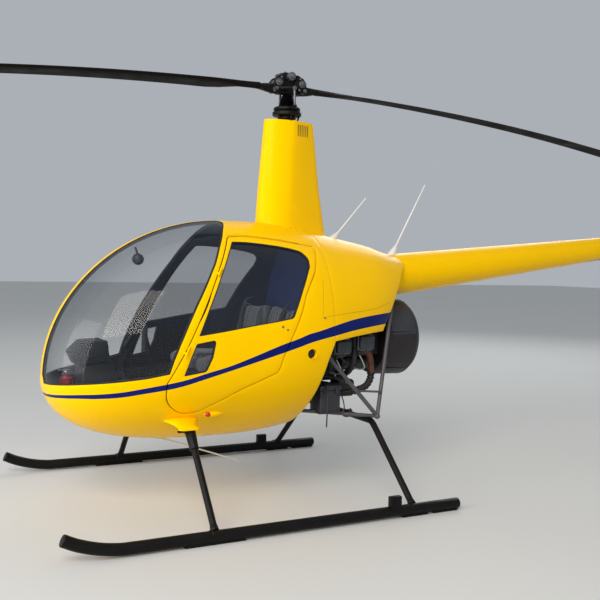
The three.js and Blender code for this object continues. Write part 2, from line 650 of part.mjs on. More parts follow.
// Tail gearbox at the end of the cone, with its output on the port side
const gearZ = tailZ(TAIL_ROTOR_X);
const TAIL_ROTOR_Y = 190;
const gearbox = join(
  rod([TAIL_END_X - TOUCH, 0, tailZ(TAIL_END_X)], [gearEnd, 0, tailZ(gearEnd)], 96, 84),
  rod([TAIL_ROTOR_X, -45, gearZ], [TAIL_ROTOR_X, 96, gearZ], 92, 72, 16),
  solid(new THREE.SphereGeometry(48, 8, 6).translate(TAIL_ROTOR_X, 0, gearZ)),
);
add('tail_gearbox', gearbox, 'grey');

// Tail rotor: shaft, hub and two blades in one turning piece
const TAIL_TURN = 0.62;
const TAIL_BLADE_SECTIONS = [
  [70, 44, 26],
  [150, TAIL_BLADE_CHORD, 12],
  [TAIL_ROTOR_RADIUS, TAIL_BLADE_CHORD, 12],
];
const tailPoint = (along, across, y) => [
  TAIL_ROTOR_X + along * Math.cos(TAIL_TURN) - across * Math.sin(TAIL_TURN),
  y,
  gearZ + along * Math.sin(TAIL_TURN) + across * Math.cos(TAIL_TURN),
];
const tailPieces = [
  rod([TAIL_ROTOR_X, 96 + TOUCH, gearZ], [TAIL_ROTOR_X, TAIL_ROTOR_Y + 40, gearZ], 30),
  rod([TAIL_ROTOR_X, TAIL_ROTOR_Y - 22, gearZ], [TAIL_ROTOR_X, TAIL_ROTOR_Y + 22, gearZ], 84),
  rod(tailPoint(-110, 0, TAIL_ROTOR_Y), tailPoint(110, 0, TAIL_ROTOR_Y), 40),
];
for (const side of [1, -1]) {
  const rings = TAIL_BLADE_SECTIONS.map(([along, chord, thick]) => (
    aerofoilRing(chord, thick).map(([ahead, up]) => (
      tailPoint(side * along, side * ahead, TAIL_ROTOR_Y + up)))));
  tailPieces.push(loft(rings));
}
add('tail_rotor', join(...tailPieces), 'black');

// Skids with their wear shoes and a bracket for a ground wheel
const SKID_Z = SHOE + SKID_BORE / 2;
const SHOES_X = [[-740, -560], [-520, -340], [660, 1000]];
const WHEEL_BRACKET = { x: [-334, -258], y: [SKID_Y - 18, SKID_Y + 18], top: 128 };
function skid() {
  const shoes = SHOES_X.map((x) => block(x, [SKID_Y - 22, SKID_Y + 22], [0, SHOE + 12]));
  return join(
    rod([-752, SKID_Y, SKID_Z], [1260, SKID_Y, SKID_Z], SKID_BORE, SKID_BORE, 12),
    bentTube([
      [1250, SKID_Y, SKID_Z], [1340, SKID_Y, SKID_Z + 2], [1440, SKID_Y, SKID_Z + 18],
      [1540, SKID_Y, SKID_Z + 48], [1618, SKID_Y, SKID_Z + 84],
    ], SKID_BORE, 7, 12),
    ...shoes,
    block(WHEEL_BRACKET.x, WHEEL_BRACKET.y, [SKID_Z, WHEEL_BRACKET.top]),
  );
}

const skidShape = skid();
const SKID_SPACE = SKID_BORE + 2 * TOUCH;
const skidSpace = rod([-900, SKID_Y, SKID_Z], [1300, SKID_Y, SKID_Z], SKID_SPACE);
add('skid_left', skidShape, 'black');
add('skid_right', mirrorY(skidShape), 'black');

// Front struts end on the belly, each in a sleeve below its cuff, and the rear tube runs across below the engine
const belly = hull(-TOUCH);
const REAR_ELBOW = [REAR_TUBE_X, 460, 475];
const sleeve = rod(onStrut(0.645), onStrut(0.797), STRUT + 2, CUFF[0]);
const legCuts = join(belly, skidSpace, underDoor);
const frontStrut = join(rod(STRUT_FOOT, FRONT_TOP, STRUT), sleeve).subtract(legCuts);
add('strut_front_left', frontStrut, 'black');
add('strut_front_right', mirrorY(frontStrut), 'black');
const rearLeg = rod([REAR_TUBE_X, SKID_Y, SKID_Z + 10], REAR_ELBOW, STRUT).subtract(skidSpace);
const elbow = solid(new THREE.SphereGeometry(STRUT / 2, 8, 6).translate(...REAR_ELBOW));
const rearAcross = rod([REAR_TUBE_X, -REAR_ELBOW[1], REAR_ELBOW[2]], REAR_ELBOW, STRUT);
add('cross_tube_rear', join(rearAcross, bothSides(join(rearLeg, elbow))), 'black');

// Welded frame behind the cabin: a former inside the cowl and a braced side on each side
const FRAME_TUBE = 26;
const FORMER_X = [TAIL_FRONT_X - 38, TAIL_FRONT_X - 24];
const cowlSpace = hull(COWL_SHELL + TOUCH);
const former = cowlSpace.intersect(block(FORMER_X, [-FAR, FAR], [1310, 1700]));
const JOINT = [-480, 438, 500];
const FRAME_TUBES = [
  [[-668, 252, 1330], JOINT],
  [[-106, 424, 905], JOINT],
  [[56, 262, 545], JOINT],
  [[-312, 430, 672], [-516, 426, 654]],
  [[-250, 434, 732], [-250, 90, 745]],
];
const frameSide = join(...FRAME_TUBES.map(([from, to]) => rod(from, to, FRAME_TUBE, FRAME_TUBE, 8)));
const EQUIPMENT_BOX = [[-238, -90], [236, 380], [526, 708]];
const [, , rearTubeZ] = REAR_ELBOW;
const rearSpace = rod([REAR_TUBE_X, -600, rearTubeZ], [REAR_TUBE_X, 600, rearTubeZ], STRUT + 2 * TOUCH);
const crankcase = join(
  block([-659.7, -150], [-120, 120], [850, 1060]),
  block([-360, -150], [-110, 110], [690, 860]),
);
const cutFront = slab(grown(FIREWALL, TOUCH), -FAR, FAR);
const frame = join(former, bothSides(frameSide), block(...EQUIPMENT_BOX));
const crankcaseSpace = join(
  block([-660, -150 + TOUCH], [-120 - TOUCH, 120 + TOUCH], [850 - TOUCH, 1060]),
  block([-360 - TOUCH, -150 + TOUCH], [-110 - TOUCH, 110 + TOUCH], [690 - TOUCH, 860]),
);
const frameCuts = join(crankcaseSpace, cutFront, rearSpace, coneSpace);
add('engine_frame', frame.subtract(frameCuts), 'grey');
add('engine_crankcase', crankcase, 'grey');

// Cylinder banks: finned barrels under one rocker rail on each side
const CYLINDER_X = [-262, -434];
const CYLINDER_Z = 960;
const FINS = 4;
const CYLINDER_FIN = 158;
const CYLINDER_BARREL = 124;
const onCylinder = (x, y0, y1, width) => rod([x, y0, CYLINDER_Z], [x, y1, CYLINDER_Z], width, width, 10);
const bankPieces = [block([-500, -190], [352, 384], [CYLINDER_Z - 46, CYLINDER_Z + 46])];
for (const x of CYLINDER_X) {
  bankPieces.push(onCylinder(x, 120 + TOUCH, 372, CYLINDER_BARREL));
  for (let i = 0; i < FINS; i += 1) {
    const y = 170 + i * 44;
    bankPieces.push(onCylinder(x, y, y + 16, CYLINDER_FIN));
  }
}
const bank = join(...bankPieces);
add('cylinder_bank_left', bank, 'grey');
add('cylinder_bank_right', mirrorY(bank), 'grey');

// Fan housing round the rear of the engine; columns: x, radius
const FAN_PROFILE = [
  [-660, 150], [-660, 246], [-690, 260], [-895, 266], [-935, 236], [-935, 150], [-690, 150],
];
const FAN_Z = 972;
const fanProfile = [...FAN_PROFILE.map(([x, r]) => [r, x]), [0, -690], [0, -660], [150, -660]];
const fan = new THREE.LatheGeometry(fanProfile.reverse().map((p) => new THREE.Vector2(...p)), 28);
fan.rotateZ(-Math.PI / 2).translate(0, 0, FAN_Z);
add('fan_housing', solid(fan), 'black');

// Exhaust: a pipe from each bank into the muffler under the sump
const MUFFLER_Z = 624;
const pipe = bentTube([
  [-468, 300, 925], [-503, 300, 880], [-511, 300, 800], [-507, 298, 730],
  [-476, 290, 676], [-420, 268, 648], [-350, 238, 630], [-310, 215, MUFFLER_Z],
], 44, 12, 8);
const muffler = rod([-270, -228, MUFFLER_Z], [-270, 228, MUFFLER_Z], 128, 128, 16);
const bankSpace = onCylinder(CYLINDER_X[1], 120, 372, CYLINDER_FIN + 2 * TOUCH);
const exhaust = join(bothSides(pipe.subtract(bankSpace)), muffler);
add('exhaust_system', exhaust.subtract(crankcaseSpace), 'exhaust');

// A side lamp in a raised teardrop on each flank
const SIDE_LAMP = [650, 588];
const teardrop = new THREE.SphereGeometry(1, 12, 8).scale(62, 24, 20);
teardrop.translate(SIDE_LAMP[0], skinY(...SIDE_LAMP), SIDE_LAMP[1]);
const sideLamp = solid(teardrop).subtract(belly);
add('side_lamp_left', sideLamp, 'red');
add('side_lamp_right', mirrorY(sideLamp), 'red');

// Whip aerials on cone-shaped feet; columns: name, foot, tip, foot width, foot length
const AERIALS = [
  ['aerial_roof_front', [-346, 0, 1620], [-623, 0, 1935], 78, 92],
  ['aerial_roof_rear', [-832, 0, 1520], [-1117, 0, 2055], 78, 112],
  ['aerial_belly', [870, 0, 388], [293, 0, 182], 34, 60],
];
for (const [name, foot, tip, width, length] of AERIALS) {
  const root = new THREE.Vector3(...foot);
  const stem = new THREE.Vector3(...tip).sub(root).setLength(length).add(root);
  const aerial = join(rod(foot, stem.toArray(), width, 16, 12), rod(foot, tip, 9, 4, 6));
  add(name, aerial.subtract(belly).subtract(coneSpace), 'white');
}

// The origin is on the ground, at the middle of the whole machine
const whole = new THREE.Box3().setFromObject(group);
const middle = whole.getCenter(new THREE.Vector3());
group.position.set(-middle.x, -middle.y, -whole.min.z);

export default group;
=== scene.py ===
"""Looks of a light piston helicopter parked on its skids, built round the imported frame."""
import json
from math import acos, atan, ceil, cos, exp, pi, radians, sin

import bpy
import bmesh
import numpy as np
from mathutils import Matrix, Vector
from mathutils.geometry import delaunay_2d_cdt
from mathutils.kdtree import KDTree


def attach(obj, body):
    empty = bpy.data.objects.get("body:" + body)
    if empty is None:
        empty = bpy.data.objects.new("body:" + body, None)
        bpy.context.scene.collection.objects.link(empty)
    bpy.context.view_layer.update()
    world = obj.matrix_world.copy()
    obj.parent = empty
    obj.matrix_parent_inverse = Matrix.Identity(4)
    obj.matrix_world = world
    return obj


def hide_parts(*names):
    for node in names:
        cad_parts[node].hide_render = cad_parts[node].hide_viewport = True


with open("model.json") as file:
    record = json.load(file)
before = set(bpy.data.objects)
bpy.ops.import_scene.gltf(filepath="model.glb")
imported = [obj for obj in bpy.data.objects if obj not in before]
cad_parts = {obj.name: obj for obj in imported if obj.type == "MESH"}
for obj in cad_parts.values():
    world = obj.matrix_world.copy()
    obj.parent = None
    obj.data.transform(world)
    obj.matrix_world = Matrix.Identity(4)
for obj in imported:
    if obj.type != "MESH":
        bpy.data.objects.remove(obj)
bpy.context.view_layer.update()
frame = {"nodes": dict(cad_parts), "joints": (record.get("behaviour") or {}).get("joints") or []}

bl_info = {
    "name": "Light helicopter",
    "version": (1, 0, 0),
    "blender": (4, 5, 0),
    "location": "View3D > Sidebar > Helicopter",
    "description": "Builds the visible pieces of a light helicopter round its packed frame",
    "category": "Object",
}

# Sizes are in millimetres from the rotor mast's foot: X forward, Y to port, Z up from the ground.
# How far the blades are turned from the fore-and-aft line, in radians, and the mast's place in the frame
ROTOR_TURN = -0.039
MAST_MM = [j for j in frame["joints"] if j["name"] == "main_rotor_spin"][0]["pos_m"][0] * 1000


def at(x, y, z):
    """A point given in millimetres, in scene metres."""
    return Vector((x + MAST_MM, y, z)) / 1000


# Colours

def linear(code):
    """An sRGB hex colour as linear red, green, blue and alpha."""
    parts = [int(code[i:i + 2], 16) / 255 for i in (1, 3, 5)]
    return [c / 12.92 if c <= 0.04045 else ((c + 0.055) / 1.055) ** 2.4 for c in parts] + [1.0]


def colour(name, description, code):
    """A colour setting with an sRGB hex default."""
    return bpy.props.FloatVectorProperty(
        name=name, description=description, size=4, subtype="COLOR", min=0, max=1, default=linear(code))


def length(name, description, mm):
    """A length setting with a default in millimetres."""
    return bpy.props.FloatProperty(
        name=name, description=description, unit="LENGTH", precision=4, default=mm / 1000)


class HELI_PG_colours(bpy.types.PropertyGroup):
    """Colours of the finishes"""
    body: colour("Body", "Gloss enamel of the cabin, cowl and tail", "#ffc700")
    stripe: colour("Stripe", "Stripe along the fuselage", "#001a66")
    blades: colour("Blades", "Paint of the main rotor blades", "#0d0a09")
    gear: colour("Landing gear", "Paint of the skids and struts", "#0d0b0b")
    frame_tubes: colour("Frame tubes", "Paint of the welded engine frame", "#504c4f")
    exhaust: colour("Exhaust", "Heat-stained steel of the exhaust", "#6a4636")
    seats: colour("Seats", "Woven seat covers", "#44484c")
    carpet: colour("Carpet", "Carpet on the cabin's rear wall", "#1a2c62")


class HELI_PG_sizes(bpy.types.PropertyGroup):
    """Sizes of the details that the frame leaves open"""
    cell: length("Skin cell", "Spacing of the skin's mesh", 24)
    shell: length("Shell", "Thickness of the cabin's shell", 20)
    cowl_shell: length("Cowl shell", "Thickness of the engine cowl", 8)
    edge: length("Panel edge", "Rounding of a panel's edge", 1.6)
    gasket: length("Gasket", "Width of the rubber round a window", 5)
    gap: length("Door gap", "Gap between a door and the cabin", 6)


def sizes():
    """The sizes set in the sidebar."""
    return bpy.context.scene.heli_sizes


def colours():
    """The colours set in the sidebar."""
    return bpy.context.scene.heli_colours


# Materials

def add_node(tree, kind, inputs=(), **settings):
    """Adds one node, with its settings, and its inputs linked or set."""
    made = tree.nodes.new(kind)
    for key, value in settings.items():
        setattr(made, key, value)
    for key, value in dict(inputs).items():
        if isinstance(value, bpy.types.NodeSocket):
            tree.links.new(value, made.inputs[key])
        else:
            made.inputs[key].default_value = value
    return made


def start_material(name, slot):
    """An empty material with its output, and its object coordinates."""
    material = bpy.data.materials.new(name)
    material.use_nodes = True
    tree = material.node_tree
    tree.nodes.clear()
    material["slot"] = slot
    coords = add_node(tree, "ShaderNodeTexCoord").outputs["Object"]
    return material, tree, coords


def end_material(tree, inputs):
    """Ends a material with its shader."""
    shader = add_node(tree, "ShaderNodeBsdfPrincipled", inputs)
    add_node(tree, "ShaderNodeOutputMaterial", {"Surface": shader.outputs[0]})


def grained(tree, coords, grain_mm, depth_mm, strength=0.5, detail=3.0):
    """The normal of a fine grain."""
    grain = add_node(tree, "ShaderNodeTexNoise", {
        "Vector": coords, "Scale": 1000 / grain_mm, "Detail": detail})
    return add_node(tree, "ShaderNodeBump", {
        "Height": grain.outputs["Fac"], "Strength": strength, "Distance": depth_mm / 1000}).outputs[0]


def ranged(tree, value, low, high, start=0.0, end=1.0):
    """A value between a start and an end, mapped to between low and high."""
    return add_node(tree, "ShaderNodeMapRange", {
        "Value": value, "From Min": start, "From Max": end, "To Min": low, "To Max": high}).outputs[0]


def mixed(tree, share, low, high):
    """Two colours mixed by a share."""
    return add_node(tree, "ShaderNodeMix", {0: share, 6: low, 7: high}, data_type="RGBA").outputs[2]


def shades(tree, coords, base, amount, scale_mm):
    """Uneven patches of a colour: the base, darker and lighter by an amount."""
    noise = add_node(tree, "ShaderNodeTexNoise", {"Vector": coords, "Scale": 1000 / scale_mm, "Detail": 5.0})
    ramp = add_node(tree, "ShaderNodeValToRGB", {"Fac": noise.outputs["Fac"]})
    dark = [c * (1 - amount) for c in base[:3]] + [1]
    light = [min(1, c * (1 + amount)) for c in base[:3]] + [1]
    ramp.color_ramp.elements[0].position, ramp.color_ramp.elements[1].position = 0.3, 0.7
    ramp.color_ramp.elements[0].color, ramp.color_ramp.elements[1].color = dark, light
    return ramp.outputs["Color"], noise.outputs["Fac"]


def surface(name, slot, base, rough, grain_mm, depth_mm, metallic=0.0, amount=0.12, patch_mm=300, **extra):
    """A finish with uneven colour and roughness and a fine grain; its base is a hex or a linear colour."""
    material, tree, coords = start_material(name, slot)
    base = linear(base) if isinstance(base, str) else base
    shade, patches = shades(tree, coords, base, amount, patch_mm)
    end_material(tree, {
        "Base Color": shade, "Roughness": ranged(tree, patches, rough * 0.8, min(1, rough * 1.2), 0.3, 0.7),
        "Metallic": metallic, "Normal": grained(tree, coords, grain_mm, depth_mm), **extra})
    return material


# Stripe along the fuselage; columns: x, lower edge, upper edge
STRIPE = [
    (1552, 678, 692), (1523, 683, 701), (1424, 696, 718), (1315, 701, 728), (1205, 711, 741),
    (1070, 734, 766), (919, 760, 794), (864, 773, 806), (741, 810, 842), (613, 847, 876), (454, 892, 929),
    (272, 943, 993), (155, 976, 1028), (85, 997, 1052), (12, 1014, 1068), (-111, 1036, 1098),
    (-283, 1063, 1132), (-600, 1092, 1163), (-900, 1105, 1180),
]
# The same along the tail cone's lower flank
TAIL_STRIPE = [
    (-4300, 1680, 1783), (-3600, 1580, 1682), (-2880, 1480, 1566), (-2550, 1420, 1505), (-2230, 1380, 1440),
    (-1930, 1330, 1395), (-1700, 1260, 1330), (-1500, 1150, 1160), (-600, 1100, 1110)]
# Range of heights that the curves of the stripes' edges cover, and half the width of an edge's blur in metres
STRIPE_Z, STRIPE_BLUR = (600, 1800), 0.0006


def body_enamel(name, stripe):
    """Gloss enamel: deep yellow under a clear coat, with a masked navy stripe where one is given."""
    material, tree, coords = start_material(name, "yellow_paint")
    shade, patches = shades(tree, coords, colours().body, 0.014, 420)
    if stripe:
        place = add_node(tree, "ShaderNodeSeparateXYZ", {"Vector": coords})
        rows = sorted(stripe)
        start, end = rows[0][0], rows[-1][0]
        along = ranged(tree, place.outputs["X"], 0, 1, (start + MAST_MM) / 1000, (end + MAST_MM) / 1000)
        masks = []
        for column, sign in ((1, 1), (2, -1)):
            curve = add_node(tree, "ShaderNodeFloatCurve", {"Value": along})
            points = curve.mapping.curves[0].points
            while len(points) < len(rows):
                points.new(0.5, 0.5)
            for point, row in zip(points, rows):
                point.location = (
                    (row[0] - start) / (end - start),
                    (row[column] - STRIPE_Z[0]) / (STRIPE_Z[1] - STRIPE_Z[0]))
            curve.mapping.update()
            edge = ranged(tree, curve.outputs[0], STRIPE_Z[0] / 1000, STRIPE_Z[1] / 1000)
            above = add_node(tree, "ShaderNodeMath", {0: place.outputs["Z"], 1: edge}, operation="SUBTRACT")
            masks.append(ranged(tree, above.outputs[0], 0, 1, -STRIPE_BLUR * sign, STRIPE_BLUR * sign))
        band = add_node(tree, "ShaderNodeMath", {0: masks[0], 1: masks[1]}, operation="MULTIPLY")
        shade = mixed(tree, band.outputs[0], shade, list(colours().stripe))
    end_material(tree, {
        "Base Color": shade, "Roughness": ranged(tree, patches, 0.2, 0.32, 0.3, 0.7),
        "Normal": grained(tree, coords, 9, 0.4, 0.12, 2.0),
        "Specular IOR Level": 0.18, "Specular Tint": linear("#ffcc20"),
        "Coat Weight": 0.05, "Coat Roughness": 0.05})
    return material


def clear_acrylic(name, tint, facing, edge):
    """Thin clear acrylic sheet: seen through face on, and pale with the sky at a shallow angle."""
    material, tree, coords = start_material(name, "clear_glazing")
    haze = add_node(tree, "ShaderNodeTexNoise", {"Vector": coords, "Scale": 1000 / 260, "Detail": 4.0})
    film = add_node(tree, "ShaderNodeLayerWeight", {"Blend": 0.35})
    end_material(tree, {
        "Base Color": linear(tint), "Roughness": ranged(tree, haze.outputs["Fac"], 0.02, 0.07),
        "Alpha": ranged(tree, film.outputs["Facing"], facing, edge, 0.15), "IOR": 1.49,
        "Specular IOR Level": 0.9, "Coat Weight": 1.0, "Coat Roughness": 0.02})
    return material


def woven_cover():
    """Striped seat cloth: a weave about 3 mm apart, drawn coarser than real so that it shows."""
    material, tree, coords = start_material("woven_seat_cloth", "grey_fabric")
    shade, patches = shades(tree, coords, colours().seats, 0.18, 90)
    pale = add_node(tree, "ShaderNodeTexWave", {
        "Vector": coords, "Scale": 1000 / 130, "Distortion": 0.5, "Detail": 3.0, "Detail Scale": 3.0},
        bands_direction="Y").outputs["Fac"]
    striped = mixed(tree, ranged(tree, pale, 0, 0.55, 0.7, 0.95), shade, linear("#8f8f92"))
    waves = [
        add_node(tree, "ShaderNodeTexWave", {"Vector": coords, "Scale": 1000 / 20, "Distortion": 0.6},
                 bands_direction=axis).outputs["Fac"]
        for axis in ("Y", "Z")]
    weave = add_node(tree, "ShaderNodeMath", {0: waves[0], 1: waves[1]}, operation="MULTIPLY")
    bump = add_node(tree, "ShaderNodeBump", {
        "Height": weave.outputs[0], "Strength": 0.6, "Distance": 0.0012})
    end_material(tree, {
        "Base Color": striped, "Roughness": ranged(tree, patches, 0.82, 0.98), "Sheen Weight": 0.3,
        "Normal": bump.outputs[0]})
    return material


def cabin_trim():
    """Cabin lining: black-brown carpet low down, navy cloth from the windows up."""
    material, tree, coords = start_material("cabin_lining_cloth", "blue_carpet")
    low, _ = shades(tree, coords, linear("#0f0c0d"), 0.25, 60)
    high, _ = shades(tree, coords, linear("#121c3c"), 0.2, 60)
    place = add_node(tree, "ShaderNodeSeparateXYZ", {"Vector": coords})
    both = mixed(tree, ranged(tree, place.outputs["Z"], 0, 1, 0.95, 1.2), low, high)
    end_material(tree, {"Base Color": both, "Roughness": 0.95,
        "Normal": grained(tree, coords, 3, 1.5, 0.6, 2.0)})
    return material


def make_materials():
    """Every finish of the machine, by a short name."""
    c = colours()
    return {
        "enamel": body_enamel("gloss_enamel_with_stripe", STRIPE),
        "enamel_tail": body_enamel("gloss_enamel_tail_stripe", TAIL_STRIPE),
        "enamel_plain": body_enamel("gloss_enamel_plain", None),
        "glass": clear_acrylic("clear_acrylic", "#3d4753", 0.07, 0.38),
        "side_glass": clear_acrylic("clear_side_acrylic", "#1c2535", 0.2, 0.55),
        # EPDM rubber, extruded: dull and slightly grainy; also the dark blocks of painted shade behind the
        # mast fairing's slots
        "rubber": surface("extruded_rubber", "black_plastic", "#17181a", 0.7, 3, 0.2),
        # Powder coat on steel tube: satin black with a fine peel
        "gear": surface("satin_black_enamel", "black_paint", c.gear, 0.45, 5, 0.15, amount=0.25, patch_mm=90,
                        **{"Specular IOR Level": 0.18}),
        # Sprayed primer grey on welded tube
        "tube": surface("grey_sprayed_tube", "grey_paint", c.frame_tubes, 0.45, 6, 0.2,
            amount=0.18, patch_mm=70),
        # Sand-cast aluminium: dull grey with a coarse skin
        "cast": surface("sand_cast_aluminium", "grey_paint", "#7d8082", 0.55, 4, 0.5, 0.75, 0.25, 60),
        # Machined steel: bright, with faint tool marks
        "steel": surface("machined_steel", "grey_paint", "#a3a6a8", 0.3, 2, 0.08, 1.0, 0.15, 40),
        # Cadmium-plated steel: dull grey with a worn sheen
        "steel_dull": surface("plated_steel", "grey_paint", "#6a6d70", 0.42, 3, 0.12, 0.8, 0.3, 30),
        # Stainless sheet burnt brown by the exhaust
        "exhaust": surface("heat_stained_steel", "exhaust_steel", c.exhaust, 0.55, 7, 0.3, 0.55, 0.4, 45),
        # The same steel further from the ports: sooty grey-brown
        "exhaust_dark": surface("sooty_steel", "exhaust_steel", "#2f2a29", 0.6, 6, 0.3, 0.4, 0.4, 40),
        # Sprayed black sheet metal of the fan housing
        "sheet": surface("black_sheet_metal", "black_paint", "#262123", 0.5, 8, 0.2, 0.2, 0.25, 110),
        # Anti-erosion paint on the rotor blades: dark, dry and a little dusty
        "blade": surface("dark_blade_paint", "black_paint", c.blades, 0.65, 5, 0.15,
            amount=0.18, patch_mm=160,
                         **{"Specular IOR Level": 0.12}),
        # Moulded ABS with a leather grain
        "abs": surface("grained_black_abs", "black_plastic", "#0c0c0d", 0.6, 2.5, 0.35),
        "floor": surface("ribbed_floor_mat", "black_plastic", "#0f0e0f", 0.85, 4, 0.6),
        # Cut-pile carpet glued to the rear wall
        "carpet": surface("cut_pile_carpet", "blue_carpet", c.carpet, 0.95, 2.5, 2.0,
            amount=0.25, patch_mm=30),
        "cloth": woven_cover(),
        "lining": cabin_trim(),
        # Painted shadow and dirt in the laps of the skin: a darker yellow strip
        "seam": surface("dust_and_shade_seam", "yellow_paint", "#b08204", 0.7, 4, 0.1, amount=0.2, patch_mm=60),
        # Polished chrome on brass
        "chrome": surface("polished_chrome", "grey_paint", "#d6d8da", 0.12, 3, 0.05, 1.0, 0.08, 30),
        "red_enamel": surface("red_bottle_enamel", "red_lens", "#a5131b", 0.28, 6, 0.1,
            amount=0.1, patch_mm=60),
        # Glass-fibre whip with white gel coat
        "whip": surface("white_gel_coat", "white_plastic", "#e2e2de", 0.35, 6, 0.1, amount=0.06),
        # Tinted polycarbonate lens
        "red": surface("red_lens", "red_lens", "#c4161c", 0.15, 12, 0.1, amount=0.1, patch_mm=15),
        "green": surface("green_lens", "red_lens", "#0f8f3c", 0.15, 12, 0.1, amount=0.1, patch_mm=15),
        # Ribbed finish of sprayed sheet boxes
        "box_paint": surface("grey_box_enamel", "grey_paint", "#33343a", 0.42, 6, 0.15, 0.15, 0.2, 90),
        # Cylinders and cases: cast aluminium, darkened by oil and heat
        "cast_dark": surface("oily_cast_aluminium", "grey_paint", "#3b3c3f", 0.5, 4, 0.5, 0.55, 0.35, 50),
        # Rocker covers: blue-grey stove enamel
        "cover_paint": surface("stoved_grey_enamel", "grey_paint", "#2f353d", 0.35, 5, 0.15, 0.1, 0.25, 70),
        # Silicone sleeve of the ignition leads
        "lead": surface("braided_lead_sleeve", "white_plastic", "#b9b6ac", 0.5, 2, 0.3, 0.3, 0.2, 15),
        # Painted dial faces
        "dial": surface("white_dial_marks", "white_plastic", "#d8d8d2", 0.5, 4, 0.05, amount=0.05),
        "web": surface("woven_belt_webbing", "black_plastic", "#2d2f33", 0.8, 2, 0.6),
    }


MATERIALS = {}


# Handling of objects

def select_only(*objects):
    """Selects just these objects, the first of them active."""
    for other in bpy.context.selected_objects:
        other.select_set(False)
    for obj in objects:
        obj.select_set(True)
    bpy.context.view_layer.objects.active = objects[0]


def added(name):
    """The primitive just added, named."""
    obj = bpy.context.object
    obj.name = obj.data.name = name
    return obj


def apply(obj, kind, **settings):
    """Adds a modifier and applies it."""
    modifier = obj.modifiers.new(kind.lower(), kind)
    for key, value in settings.items():
        setattr(modifier, key, value)
    select_only(obj)
    bpy.ops.object.modifier_apply(modifier=modifier.name)
    return obj


def softened(obj, width, over, segments=2):
    """Rounds the edges that are sharper than an angle in degrees."""
    return apply(obj, "BEVEL", width=width / 1000, segments=segments, limit_method="ANGLE",
                 angle_limit=radians(over))


def edit_all():
    """Goes into edit mode with everything selected."""
    bpy.ops.object.mode_set(mode="EDIT")
    bpy.ops.mesh.select_all(action="SELECT")


def outward(obj):
    """Merges doubles and turns every face outwards."""
    select_only(obj)
    edit_all()
    bpy.ops.mesh.remove_doubles(threshold=0.00005)
    bpy.ops.mesh.normals_make_consistent(inside=False)
    bpy.ops.object.mode_set(mode="OBJECT")
    return obj


def joined(name, parts):
    """Several parts as one piece."""
    select_only(*parts)
    if len(parts) > 1:
        bpy.ops.object.join()
    obj = bpy.context.view_layer.objects.active
    obj.name = obj.data.name = name
    return obj


def copies(seed, moves):
    """Copies of a small piece moved by vectors and joined under its name; the piece itself goes."""
    name, made = seed.name, []
    for move in moves:
        copy = bpy.data.objects.new(name, seed.data.copy())
        copy.data.transform(Matrix.Translation(move))
        bpy.context.scene.collection.objects.link(copy)
        made.append(copy)
    bpy.data.objects.remove(seed)
    return joined(name, made)


def turned(obj, angle, axis, centre=(0, 0, 0)):
    """Turns a part by an angle round an axis through a centre."""
    pivot = at(*centre)
    obj.data.transform(Matrix.Translation(pivot) @ Matrix.Rotation(angle, 4,
        axis) @ Matrix.Translation(-pivot))
    return obj


def flipped(obj):
    """Turns a part into its mirror image on the other side."""
    obj.data.transform(Matrix.Scale(-1, 4, (0, 1, 0)))
    obj.data.flip_normals()
    return obj


def done(obj, finish, body="airframe", nodes=(), angle=35):
    """Gives a piece its finish and body, with its place in its mesh."""
    select_only(obj)
    bpy.ops.object.transform_apply(location=True, rotation=True, scale=True)
    bpy.ops.object.shade_smooth_by_angle(angle=radians(angle))
    obj.data.materials.clear()
    obj.data.materials.append(MATERIALS[finish])
    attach(obj, body)
    if nodes:
        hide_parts(*nodes)
    return obj


def mirrored(obj, name):
    """A starboard copy of a port piece, with its own mesh."""
    twin = bpy.data.objects.new(name, obj.data.copy())
    twin.data.name = name
    bpy.context.scene.collection.objects.link(twin)
    twin.matrix_world = obj.matrix_world.copy()
    select_only(twin)
    bpy.ops.object.transform_apply(location=True, rotation=True, scale=True)
    return flipped(twin)


def pair(obj, finish, body="airframe", nodes=(), angle=35):
    """Finishes a port piece and its starboard mirror image, named with left and right."""
    twin = mirrored(obj, obj.name.replace("left", "right"))
    return (done(obj, finish, body, nodes, angle),
            done(twin, finish, body.replace("left", "right"),
                [n.replace("left", "right") for n in nodes], angle))


# Shapes, by Blender's own operators

def box(name, x, y, z, bevel=3, segments=3):
    """A block between two values of each axis, its edges rounded."""
    bpy.ops.mesh.primitive_cube_add(size=1, location=at(sum(x) / 2, sum(y) / 2, sum(z) / 2))
    obj = added(name)
    obj.scale = [(b - a) / 1000 for a, b in (x, y, z)]
    bpy.ops.object.transform_apply(location=True, rotation=True, scale=True)
    return softened(obj, bevel, 30, segments) if bevel else obj


def rod(name, start, end, width, width_end=None, sides=24, bevel=1.0):
    """A round bar or cone from one point to another, its rims rounded."""
    a, b = at(*start), at(*end)
    bpy.ops.mesh.primitive_cone_add(
        vertices=sides, radius1=width / 2000, radius2=(width if width_end is None else width_end) / 2000,
        depth=(b - a).length, location=(a + b) / 2, rotation=(b - a).to_track_quat("Z", "Y").to_euler())
    obj = added(name)
    bpy.ops.object.transform_apply(location=True, rotation=True, scale=True)
    return softened(obj, bevel, 40) if bevel else obj


def smooth_path(points, steps=6):
    """Catmull-Rom points through the given ones."""
    p = [Vector(q) for q in points]
    p = [2 * p[0] - p[1]] + p + [2 * p[-1] - p[-2]]
    result = []
    for i in range(1, len(p) - 2):
        for k in range(steps):
            t = k / steps
            a, b, c, d = p[i - 1:i + 3]
            bend, twist = 2 * a - 5 * b + 4 * c - d, 3 * b - a - 3 * c + d
            result.append(0.5 * (2 * b + (c - a) * t + bend * t ** 2 + twist * t ** 3))
    result.append(p[-2])
    return [tuple(q) for q in result]


